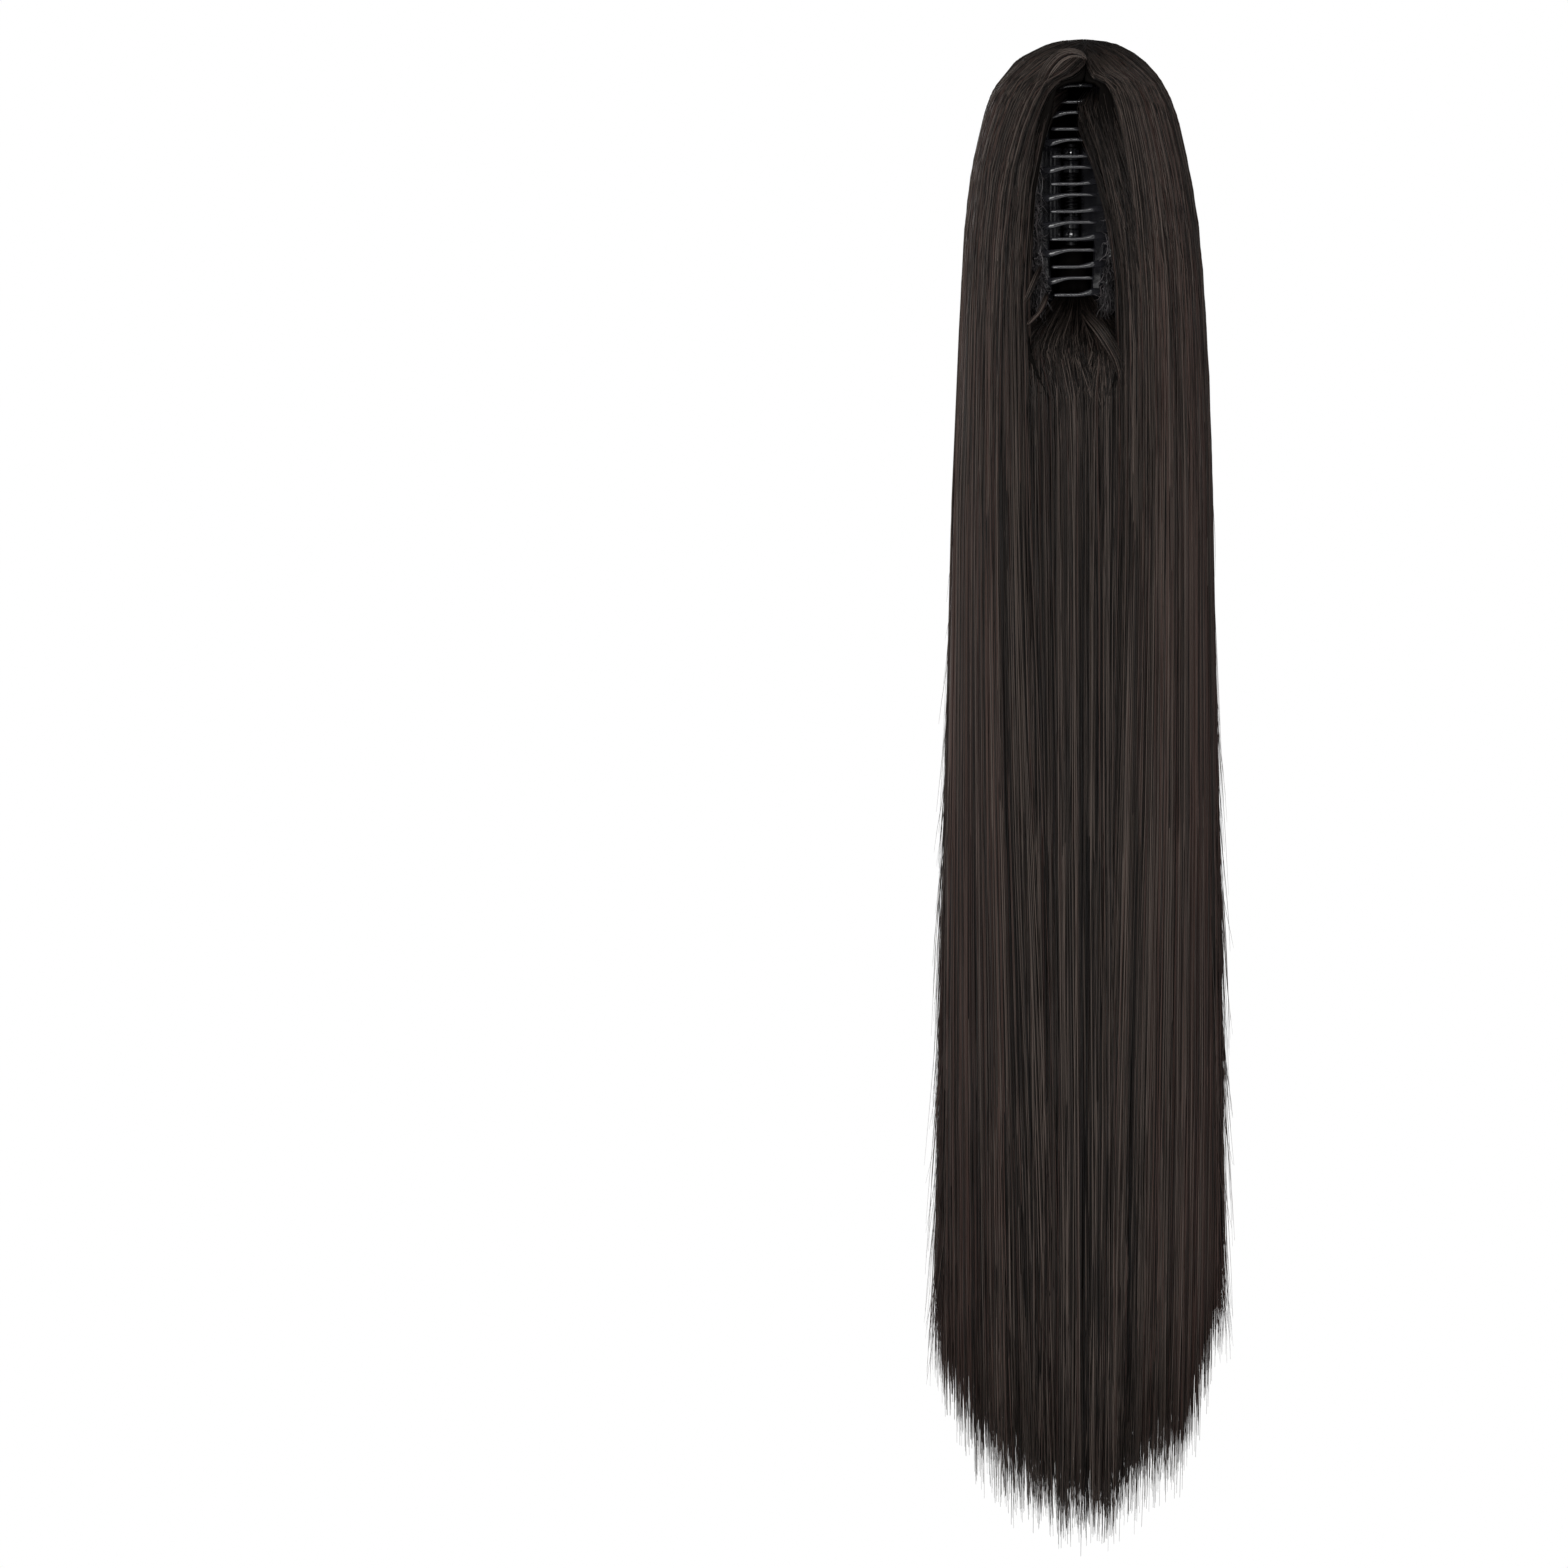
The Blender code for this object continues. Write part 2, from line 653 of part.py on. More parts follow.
def make_weft_band(name, side, material):
    """Netting with sewn wefts, laid over the outside of one jaw."""
    rows = (PLATE[4], PLATE[5], PLATE[6], TOOTH[1], TOOTH[2])
    half = WEFT_HEIGHT / 2
    heights = [half * share for share in (-1, -0.8, -0.5, 0, 0.5, 0.8, 1)]
    inner = JAW_WALL / 2 + GAP + 2 * BITE
    band = curved_wall(name, side, rows, heights, inner, inner + WEFT_THICKNESS)
    band.data.materials.append(material)


clear_scene()
HAIR = make_material("dark_brown_hair", (0.022, 0.017, 0.014), 0.42)
INNER_HAIR = make_material("inner_hair", (0.017, 0.013, 0.011), 0.45)
PLASTIC = make_material("black_plastic", (0.006, 0.006, 0.007), 0.22)
STEEL = make_material("spring_steel", (0.45, 0.45, 0.46), 0.35, 1.0)
NETTING = make_material("black_netting", (0.010, 0.009, 0.009), 0.75)
make_hair(HAIR, INNER_HAIR)
make_jaw("claw_jaw_left", -1, PLASTIC)
make_jaw("claw_jaw_right", 1, PLASTIC)
make_pin(STEEL)
make_spring(STEEL)
make_weft_band("weft_band_left", -1, NETTING)
make_weft_band("weft_band_right", 1, NETTING)
turn_on_pin("claw_jaw_left", "claw_jaw_right", "weft_band_left", "weft_band_right")
shade_round_faces(math.radians(35.0))
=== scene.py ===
"""Looks of the ponytail hairpiece: strands, under hair, claw, netting, light.

Metres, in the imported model's frame. The wearer's side, with the claw's teeth,
faces -Y, and the outer cover hair faces +Y.
"""
import math
from collections import namedtuple

import bpy
import numpy as np
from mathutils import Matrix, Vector


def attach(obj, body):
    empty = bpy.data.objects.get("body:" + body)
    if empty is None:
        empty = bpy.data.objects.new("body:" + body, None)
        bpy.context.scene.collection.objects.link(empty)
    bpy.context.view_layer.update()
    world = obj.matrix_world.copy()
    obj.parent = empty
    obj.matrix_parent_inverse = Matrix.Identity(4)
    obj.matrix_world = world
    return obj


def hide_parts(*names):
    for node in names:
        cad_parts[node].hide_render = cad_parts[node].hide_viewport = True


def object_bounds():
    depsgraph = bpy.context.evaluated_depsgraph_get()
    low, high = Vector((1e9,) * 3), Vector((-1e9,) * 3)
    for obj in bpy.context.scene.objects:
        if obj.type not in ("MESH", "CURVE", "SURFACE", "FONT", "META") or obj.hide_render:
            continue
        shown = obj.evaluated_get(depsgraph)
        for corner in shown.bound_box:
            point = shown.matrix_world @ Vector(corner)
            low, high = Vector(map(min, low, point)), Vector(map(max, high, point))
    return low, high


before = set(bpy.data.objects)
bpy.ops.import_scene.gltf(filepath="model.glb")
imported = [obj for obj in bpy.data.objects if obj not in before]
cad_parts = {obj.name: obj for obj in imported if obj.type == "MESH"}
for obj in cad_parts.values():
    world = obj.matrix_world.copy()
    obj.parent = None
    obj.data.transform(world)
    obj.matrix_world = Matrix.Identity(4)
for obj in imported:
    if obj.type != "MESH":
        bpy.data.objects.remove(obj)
CAD_BOX = [list(corner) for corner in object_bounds()]

# Hair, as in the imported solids
HAIR_LENGTH = 0.660
HAIR_WIDTH = 0.128
CLIP_DEPTH = 0.097
FALL_DEPTH = 0.060
HOOD_HEIGHT = 0.170
FALL_LENGTH = HAIR_LENGTH - HOOD_HEIGHT
CROWN_X = 0.0046
CROWN_Y = 0.006
CROWN_Z = CAD_BOX[1][2]
PARTING_X = 0.005
PARTING_FRONT = -0.016
PARTING_BACK = 0.020
SWEEP_DEPTH = 0.024
ROUNDNESS = 2.25

# Claw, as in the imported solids
CLAW_LENGTH = 0.094
HALF_CLAW = CLAW_LENGTH / 2
CLAW_WIDTH = 0.037
CLAW_DEPTH = 0.040
TEETH_PER_JAW = 8
TOOTH_MARGIN = 0.002
TOOTH_PITCH = (CLAW_LENGTH - 2 * TOOTH_MARGIN) / (TEETH_PER_JAW - 0.5)
TOOTH_HEIGHT = 0.0034
TOOTH_TILT = 0.0015
JAW_WALL = 0.0024
PIN_Y = 0.014
PIN_RADIUS = 0.0015
KNUCKLE_RADIUS = 0.0036
KNUCKLE_HEIGHT = 0.0054
SPRING_LENGTH = 0.0185
SPRING_WIRE = 0.0011
LEVER_REACH = 0.022
LEVER_SPREAD = 0.0155
LEVER_HEIGHT = 0.034
WEFT_HEIGHT = 0.086
GAP = 0.0003

# Strands. The core is the plane to which the lower layers draw together, and at
# the seam the side strands end and the cover strands begin. The tucks are how
# far inside the hair its lower tier starts, by the slit and farther back.
STRAND_RADIUS = 0.00021
CROWN_STRANDS = 2150
LIP_STRANDS = 2500
RIM_STRANDS = 130
STRAY_STRANDS = 300
LOW_LOCK_STRANDS = 110
INNER_STRANDS = 1500
CORE_Y = 0.001
SEAM_Y = 0.006
CLUMPS_A_SIDE = 44
FINE_LOCKS = 230
TIP_LOCKS = 96
INNER_CLUMPS = 10
INNER_FINE_LOCKS = 34
INNER_TIP_LOCKS = 24
# The crown strands' map starts at this share, so the painted shade near their start is lighter than on the
# other strands.
CROWN_ROOT_SHARE = 0.16
CROWN_STEPS = np.array((0.0, 0.004, 0.010, 0.018, 0.028, 0.041, 0.058, 0.080, 0.11, 0.17, 0.30,
                        0.52, 0.76, 0.91, 1.0))
LIP_STEPS = np.array((0.0, 0.03, 0.08, 0.16, 0.30, 0.54, 0.78, 0.92, 1.0))
INNER_STEPS = np.array((0.0, 0.012, 0.03, 0.05, 0.08, 0.13, 0.26, 0.46, 0.68, 0.86, 0.94, 1.0))
WAVE = 0.0034
TIP_BEND = 0.008
TIP_SCATTER = 0.040
LONGEST_CLUMP = 0.003
LAYER_STEP = 0.0042
DEEP_TUCK = 0.0060
TUCK = 0.0012
UNDER_INSET = 0.0026
UNDER_WALL = 0.0020
UNDER_COLUMNS = 73
UNDER_ROWS = 46
UNDER_TOP = 0.0016

# Netting
NET_WALL = 0.0010
NET_THREADS = 46
NET_LEAN = 0.016
NET_RADIUS = 0.00018
WEFTS = 48
WEFT_RADIUS = 0.00042
WIRY_RADIUS = 0.00018
WIRY_HAIRS = {-1: 1150, 1: 950}

# Photograph: metres a pixel, and the pixel of the frame's origin
PHOTO_SCALE = 0.000438
PHOTO_SIZE = 1568
PHOTO_ORIGIN = (1072, 193)

# Hair sections, each as down, left, right, front and back. Down is a share of
# the height of the hood or of the fall, left and right are shares of the
# hair's width, front and back of its depth.
HOOD = (
    (0.016, 0.088, 0.161, 0.124, 0.247), (0.036, 0.142, 0.208, 0.200, 0.320),
    (0.057, 0.190, 0.244, 0.258, 0.371), (0.078, 0.214, 0.272, 0.300, 0.412),
    (0.099, 0.237, 0.295, 0.330, 0.443), (0.119, 0.259, 0.313, 0.352, 0.466),
    (0.140, 0.276, 0.328, 0.370, 0.485), (0.181, 0.297, 0.352, 0.397, 0.515),
    (0.222, 0.311, 0.368, 0.412, 0.533), (0.264, 0.325, 0.380, 0.423, 0.546),
    (0.366, 0.352, 0.411, 0.433, 0.567), (0.521, 0.373, 0.441, 0.428, 0.562),
    (0.727, 0.387, 0.462, 0.397, 0.521), (1.000, 0.400, 0.478, 0.351, 0.443),
)
FALL = (
    (0.067, 0.414, 0.486, 0.533, 0.650), (0.245, 0.428, 0.496, 0.483, 0.567),
    (0.424, 0.448, 0.514, 0.467, 0.533), (0.602, 0.457, 0.516, 0.467, 0.517),
    (0.760, 0.462, 0.512, 0.430, 0.465), (0.880, 0.458, 0.506, 0.340, 0.360),
    (1.000, 0.450, 0.500, 0.190, 0.200),
)

# Front edges of the hair, each as up, left and right. Up is a share of half
# the claw's length, left and right are shares of the claw's width. The lip
# tier lines the slit, the crown tier lies over it, and the under tier is the
# closed body below both.
LIP_EDGES = (
    (1.180, 0.060, 0.100), (1.060, 0.170, 0.130), (0.915, 0.225, 0.060), (0.820, 0.250, 0.010),
    (0.700, 0.320, 0.000), (0.570, 0.375, 0.045), (0.460, 0.415, 0.090), (0.280, 0.465, 0.175),
    (0.080, 0.505, 0.275), (-0.060, 0.525, 0.365), (-0.290, 0.560, 0.420), (-0.640, 0.600, 0.480),
    (-1.000, 0.610, 0.510), (-1.400, 0.580, 0.555), (-2.000, 0.540, 0.540), (-4.000, 0.500, 0.520),
    (-8.000, 0.250, 0.350), (-13.00, 0.050, 0.250),
)
CROWN_EDGES = (
    (1.400, -0.135, 0.135), (1.140, 0.060, 0.220), (1.060, 0.150, 0.330), (0.960, 0.240, 0.400),
    (0.840, 0.320, 0.450), (0.600, 0.450, 0.520), (0.260, 0.580, 0.600), (-0.250, 0.680, 0.680),
    (-0.900, 0.740, 0.740), (-1.400, 0.770, 0.770), (-2.000, 0.780, 0.780), (-4.000, 0.750, 0.750),
    (-8.000, 0.600, 0.620), (-13.00, 0.500, 0.520),
)
UNDER_EDGES = (
    (1.400, -0.135, 0.135), (1.180, -0.060, 0.145), (1.060, 0.170, 0.300), (0.700, 0.300, 0.280),
    (0.260, 0.440, 0.260), (-0.250, 0.540, 0.420), (-0.900, 0.610, 0.520), (-1.400, 0.600, 0.580),
    (-1.700, 0.460, 0.500), (-2.020, 0.250, 0.370), (-2.340, 0.050, 0.250), (-2.800, -0.135, 0.135),
    (-13.00, -0.135, 0.135),
)

# The line of the tips: a share of half the fall's width to the side, and a
# share of the hair's length down.
TIP_LINE = (
    (-1.00, 0.898), (-0.86, 0.938), (-0.68, 0.968), (-0.50, 0.984),
    (-0.22, 0.995), (0.06, 0.999), (0.33, 0.993), (0.52, 0.981),
    (0.71, 0.968), (0.87, 0.934), (1.00, 0.866),
)

# One jaw seen from above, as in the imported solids: shares of half the claw's
# width outwards, and of its depth forwards.
PLATE = (
    (0.33, -0.120), (0.29, 0.000), (0.36, 0.100), (0.58, 0.170),
    (0.88, 0.320), (0.97, 0.460), (0.99, 0.580),
)
TOOTH = (
    (0.985, 0.540), (0.97, 0.720), (0.86, 0.850), (0.66, 0.940),
    (0.36, 0.985), (0.00, 1.000), (-0.36, 0.995), (-0.57, 0.975),
)

# The small locks at the parting and at the slit's lower end: the number of
# strands, then stops from root to tip, each as a pixel across and down in the
# photograph, how far it stands out of the hair's front, and the lock's radius.
SLIT_LOCKS = {
    "parting_lock": (240, (
        (1085, 66, -0.0022, 0.0010), (1079, 61, -0.0014, 0.0020), (1070, 60, -0.0010, 0.0032),
        (1061, 64, -0.0012, 0.0040), (1053, 72, -0.0018, 0.0042), (1046, 83, -0.0024, 0.0040),
        (1040, 97, -0.0034, 0.0034))),
    "right_slit_lock": (90, (
        (1080, 312, -0.0150, 0.0014), (1088, 322, -0.0080, 0.0022), (1097, 333, -0.0034, 0.0026),
        (1107, 348, -0.0024, 0.0026), (1115, 363, -0.0024, 0.0024), (1120, 384, -0.0026, 0.0022),
        (1122, 420, -0.0032, 0.0020))),
    "left_slit_lock": (36, (
        (1046, 296, -0.0120, 0.0008), (1043, 304, -0.0060, 0.0012), (1037, 316, -0.0026, 0.0011),
        (1029, 325, -0.0010, 0.0008), (1025, 329, -0.0008, 0.0005))),
    "left_slit_curl": (26, (
        (1040, 268, -0.0110, 0.0008), (1034, 282, -0.0050, 0.0011), (1028, 296, -0.0026, 0.0010),
        (1023, 306, -0.0010, 0.0006))),
}

# Colours and light
DARK = (0.0040, 0.0030, 0.0026)
LIGHT = (0.122, 0.095, 0.081)
# Colour of the warm strands: partly a random tone, partly a painted reddish sheen at the hair's sides.
WARM = (0.085, 0.045, 0.037)
WHITE = (1, 1, 1, 1)
WHITE_SEEN = 1.0
WHITE_LIT = 0.28
FLOOR_Z = -0.74
CAMERA_DISTANCE = 4.0
Lamp = namedtuple("Lamp", "name place target size energy")
LAMPS = (
    Lamp("key", (-1.5, -2.6, -0.44), (0, 0, -0.38), (1.4, 1.6), 27),
    Lamp("fill", (1.7, -2.3, -0.44), (0, 0, -0.38), (1.2, 1.6), 3.5),
    Lamp("front", (0.0, -3.3, 0.50), (0, 0, -0.26), (2.0, 0.24), 20),
    Lamp("top", (0.7, -1.3, 1.2), (0.03, 0, 0.03), (0.8, 0.4), 4.0),
    Lamp("rear", (-0.9, 2.6, 0.1), (0, 0, -0.3), (1.8, 1.8), 34),
    Lamp("left_side", (-2.6, 0.7, -0.2), (0, 0, -0.3), (1.2, 1.6), 9),
    Lamp("right_side", (2.6, 0.7, -0.2), (0, 0, -0.3), (1.2, 1.6), 5),
)


def bound(value):
    """A value kept from 0 to 1."""
    return np.clip(value, 0.0, 1.0)


def smooth_read(table, at):
    """Read a smooth curve through a table whose first column is the place."""
    place = table[:, 0]
    values = table[:, 1:]
    count = len(place)
    before = np.maximum(np.arange(count) - 1, 0)
    after = np.minimum(np.arange(count) + 1, count - 1)
    slopes = (values[after] - values[before]) / (place[after] - place[before])[:, None]
    k = np.clip(np.searchsorted(place, at, side="right") - 1, 0, count - 2)
    span = (place[k + 1] - place[k])[..., None]
    t = bound((at - place[k])[..., None] / span)
    return ((2 * t ** 3 - 3 * t ** 2 + 1) * values[k] + (t ** 3 - 2 * t ** 2 + t) * span * slopes[k]
            + (3 * t ** 2 - 2 * t ** 3) * values[k + 1] + (t ** 3 - t ** 2) * span * slopes[k + 1])


def section_table():
    """Hair sections as depth below the crown and four reaches."""
    rows = [(down * HOOD_HEIGHT, left * HAIR_WIDTH, right * HAIR_WIDTH,
             front * CLIP_DEPTH, back * CLIP_DEPTH) for down, left, right, front, back in HOOD]
    rows += [(HOOD_HEIGHT + down * FALL_LENGTH, left * HAIR_WIDTH, right * HAIR_WIDTH,
              front * FALL_DEPTH, back * FALL_DEPTH) for down, left, right, front, back in FALL]
    return np.array(rows)


def edge_table(edges):
    """Front edges as depth below the crown and two places across."""
    return np.array([(CROWN_Z - up * HALF_CLAW, -left * CLAW_WIDTH, right * CLAW_WIDTH)
                     for up, left, right in edges])


SECTIONS = section_table()
FIRST_DEPTH = SECTIONS[0, 0]
EDGES = {"lip": edge_table(LIP_EDGES), "crown": edge_table(CROWN_EDGES),
         "under": edge_table(UNDER_EDGES)}
TIPS = np.array(TIP_LINE)


def reaches(x, y, depth):
    """How far the hair reaches at a depth, to the side and the face of x and y."""
    reach = smooth_read(SECTIONS, np.maximum(depth, FIRST_DEPTH))
    return (np.where(x > 0, reach[..., 1], reach[..., 0]),
            np.where(y > 0, reach[..., 3], reach[..., 2]))


def section_xy(angle, depth):
    """The hair's outside at an angle and a depth below the crown."""
    c = np.cos(angle)
    s = np.sin(angle)
    side, face = reaches(c, s, depth)
    x = np.sign(c) * np.abs(c) ** (2 / ROUNDNESS) * side
    y = np.sign(s) * np.abs(s) ** (2 / ROUNDNESS) * face
    grow = np.sqrt(bound(depth / FIRST_DEPTH))
    return CROWN_X + (x - CROWN_X) * grow, CROWN_Y + (y - CROWN_Y) * grow


def dome_depth(x, y):
    """How far below the crown the outside lies over a point, by halving."""
    low = np.zeros_like(x)
    high = np.full_like(x, 0.10)
    for _ in range(22):
        middle = (low + high) / 2
        grow = np.maximum(np.sqrt(bound(middle / FIRST_DEPTH)), 0.001)
        px = CROWN_X + (x - CROWN_X) / grow
        py = CROWN_Y + (y - CROWN_Y) / grow
        side, face = reaches(px, py, middle)
        outside = (np.abs(px) / side) ** ROUNDNESS + (np.abs(py) / face) ** ROUNDNESS > 1
        low = np.where(outside, middle, low)
        high = np.where(outside, high, middle)
    return (low + high) / 2


def front_angle(side, depth, tier):
    """The angle of a hair group's front edge at a depth."""
    x = smooth_read(EDGES[tier], depth)[..., 0 if side < 0 else 1]
    limit = reaches(x, x, depth)[0]
    return -np.arccos(np.sign(x) * np.clip(np.abs(x) / limit, 0.0, 0.96) ** (ROUNDNESS / 2))


def hair_point(side, u, depth, inset, tier):
    """A point of the hair from its front edge, u = 0, to the back, u = 1."""
    start = front_angle(side, depth, tier)
    stop = -1.5 * math.pi if side < 0 else 0.5 * math.pi
    x, y = section_xy(start + u * (stop - start), depth)
    fade = bound(1 - depth / SWEEP_DEPTH) ** 2
    line_y = PARTING_FRONT + (PARTING_BACK - PARTING_FRONT) * bound(u) ** 0.8
    x = x + (PARTING_X - CROWN_X) * fade
    y = y + (line_y - CROWN_Y) * fade
    drop = np.where(depth < SWEEP_DEPTH, dome_depth(x, y), depth)
    return inward(np.stack([x, y, CROWN_Z - drop], axis=-1), inset)


def inward(points, inset):
    """Move points towards the inside of the hair by a distance."""
    heart_z = CROWN_Z - 0.055
    across = points[..., 0] - CROWN_X
    across = across * bound(np.abs(across) / 0.045)
    away = np.stack([across, points[..., 1], np.maximum(points[..., 2] - heart_z, 0.0)], axis=-1)
    return points - unit(away, 1e-6) * np.asarray(inset)[..., None]


def unit(vectors, least=1e-9):
    """Vectors of length 1 in the same directions."""
    return vectors / np.maximum(np.linalg.norm(vectors, axis=-1, keepdims=True), least)


def tube_arrays(paths, radii, tints, sides=3, first=0.0):
    """Points, faces and map of many closed thin tubes. The map runs from first to 1."""
    count, steps = radii.shape
    along = unit(np.gradient(paths, axis=1))
    across = unit(np.cross(along, np.array((0.26, 0.90, 0.35))))
    over = np.cross(along, across)
    turn = math.tau * (np.arange(sides) / sides + tints[:, None] * 7.0)
    ring = (across[:, :, None, :] * np.cos(turn)[:, None, :, None]
            + over[:, :, None, :] * np.sin(turn)[:, None, :, None])
    points = paths[:, :, None, :] + ring * radii[:, :, None, None]
    index = np.arange(count * steps * sides).reshape(count, steps, sides)
    turned = np.roll(index, -1, axis=2)
    walls = np.stack([index[:, :-1], turned[:, :-1], turned[:, 1:], index[:, 1:]], axis=-1)
    loops = np.concatenate([walls.reshape(-1), index[:, 0, ::-1].reshape(-1), index[:, -1].reshape(-1)])
    sizes = np.concatenate([np.full(count * (steps - 1) * sides, 4), np.full(2 * count, sides)])
    tint = np.broadcast_to(tints[:, None, None], index.shape).reshape(-1)
    share = np.broadcast_to(np.linspace(first, 1, steps)[None, :, None], index.shape).reshape(-1)
    return points.reshape(-1, 3), loops, sizes, np.stack([tint, share], axis=-1)


def mesh_of_tubes(name, parts):
    """One mesh from the arrays of several groups of tubes."""
    offsets = np.cumsum([0] + [len(part[0]) for part in parts])
    loops = np.concatenate([part[1] + offset for part, offset in zip(parts, offsets)])
    points, sizes, spots = [np.concatenate([part[k] for part in parts]) for k in (0, 2, 3)]
    mesh = bpy.data.meshes.new(name)
    mesh.vertices.add(len(points))
    mesh.vertices.foreach_set("co", points.reshape(-1).astype(np.float32))
    mesh.loops.add(len(loops))
    mesh.loops.foreach_set("vertex_index", loops.astype(np.int32))
    mesh.polygons.add(len(sizes))
    mesh.polygons.foreach_set("loop_start", (np.cumsum(sizes) - sizes).astype(np.int32))
    mesh.update(calc_edges=True)
    mesh.polygons.foreach_set("use_smooth", np.ones(len(sizes), dtype=bool))
    layer = mesh.uv_layers.new(name="strand")
    layer.data.foreach_set("uv", spots[loops].reshape(-1).astype(np.float32))
    mesh.update()
    return new_object(name, mesh)


def tube_mesh(name, paths, radii, tints, sides=3):
    """Many closed thin tubes as one piece. The map holds tint and length."""
    return mesh_of_tubes(name, [tube_arrays(paths, radii, tints, sides)])


def new_object(name, data):
    """A new object in the scene."""
    piece = bpy.data.objects.new(name, data)
    bpy.context.collection.objects.link(piece)
    return piece


def finish_piece(piece, material, body, slot, *nodes):
    """Give a piece its material, body and the nodes that it replaces; its slot is not used."""
    piece.data.materials.clear()
    piece.data.materials.append(material)
    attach(piece, body)
    if nodes:
        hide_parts(*nodes)


def ease(value, low, high):
    """A smooth step from 0 to 1 between two values."""
    t = bound((value - low) / (high - low))
    return t * t * (3 - 2 * t)


def lock_of(place, locks):
    """The number of the lock or clump in which a place from 0 to 1 lies."""
    return np.clip(np.floor(place * locks), 0, locks - 1).astype(int)


def even_shares(rng, side, count):
    """Places round one side, with the strands about evenly far apart."""
    grid = np.linspace(0.0, 1.0, 400)
    points = hair_point(side, grid, np.full(400, 0.42), np.zeros(400), "lip")
    gaps = np.linalg.norm(np.diff(points, axis=0), axis=1) ** 0.7
    total = np.concatenate([[0.0], np.cumsum(gaps)])
    return np.interp(rng.random(count) * total[-1], total, grid)


def tip_drop(x):
    """How far below the crown the hair ends at a place across."""
    left, right = FALL[4][1:3]
    middle = 0.5 * (right - left) * HAIR_WIDTH
    half = 0.5 * (right + left) * HAIR_WIDTH
    return smooth_read(TIPS, (x - middle) / half)[..., 0] * HAIR_LENGTH


def draw_locks(rng, place, clumps, fines):
    """Each strand's clump, layer, clump's place and length, fine lock, tint and depth."""
    clump = lock_of(place, clumps)
    level = np.maximum(rng.integers(0, 4, len(place)) - 1, 0)
    shift = rng.random((clumps, 3)) * 0.8 + 0.1
    longer = np.minimum(rng.normal(0.0, 0.009, (clumps, 3)), LONGEST_CLUMP)
    fine = lock_of(place, fines)
    tint, deep = [rng.random((fines, 2))[fine, level % 2] for _ in range(2)]
    return clump, level, (clump + shift[clump, level]) / clumps, longer[clump, level], fine, tint, deep


def gather(share):
    """How strongly the strands draw together along their length."""
    return 0.03 + 0.05 * share + 0.25 * bound((share - 0.84) / 0.16) ** 1.4


def tip_locks(rng, place, share, locks):
    """Draw the lower ends together into small pointed locks."""
    lock = lock_of(place[:, len(place[0]) // 2], locks)
    heart = (lock + 0.2 + 0.6 * rng.random(locks)[lock]) / locks
    pull = 0.62 * bound((share - 0.84) / 0.13) ** 1.3
    return place + (heart[:, None] - place) * pull


def lock_lengths(rng, place, locks):
    """How much longer than its neighbours each small lock is."""
    return np.minimum(rng.normal(0.0, 0.008, locks), LONGEST_CLUMP)[lock_of(place, locks)]


def early_ends(rng, count):
    """How much shorter than the longest each strand is. Few are the longest."""
    return TIP_SCATTER * rng.random(count) ** 0.55


def fill_core(rng, paths, level):
    """Draw the lower layers towards the middle plane, so that the tips are no open ring."""
    drawn = np.where(level > 0, 0.25 + 0.75 * rng.random(len(level)), 0.0)
    low = ease(CROWN_Z - paths[..., 2], 0.34, 0.54)
    paths[..., 1] += (CORE_Y - paths[..., 1]) * drawn[:, None] * low


def strand_radii(rng, count, taper, radius=STRAND_RADIUS):
    """Radii along the strands, each strand a little thicker or thinner."""
    return radius * (0.7 + 0.6 * rng.random(count))[:, None] * taper


def waves(rng, share, least, more):
    """A wave along each strand, at a pace of its own."""
    pace = least + more * rng.random(len(share))
    return np.sin(share * pace[:, None] + math.tau * rng.random(len(share))[:, None])


def tip_bends(rng, share):
    """Small random bends of the strands' lower ends."""
    low = bound((share - 0.78) / 0.22)
    return rng.normal(size=(len(share), 1)) * low ** 2


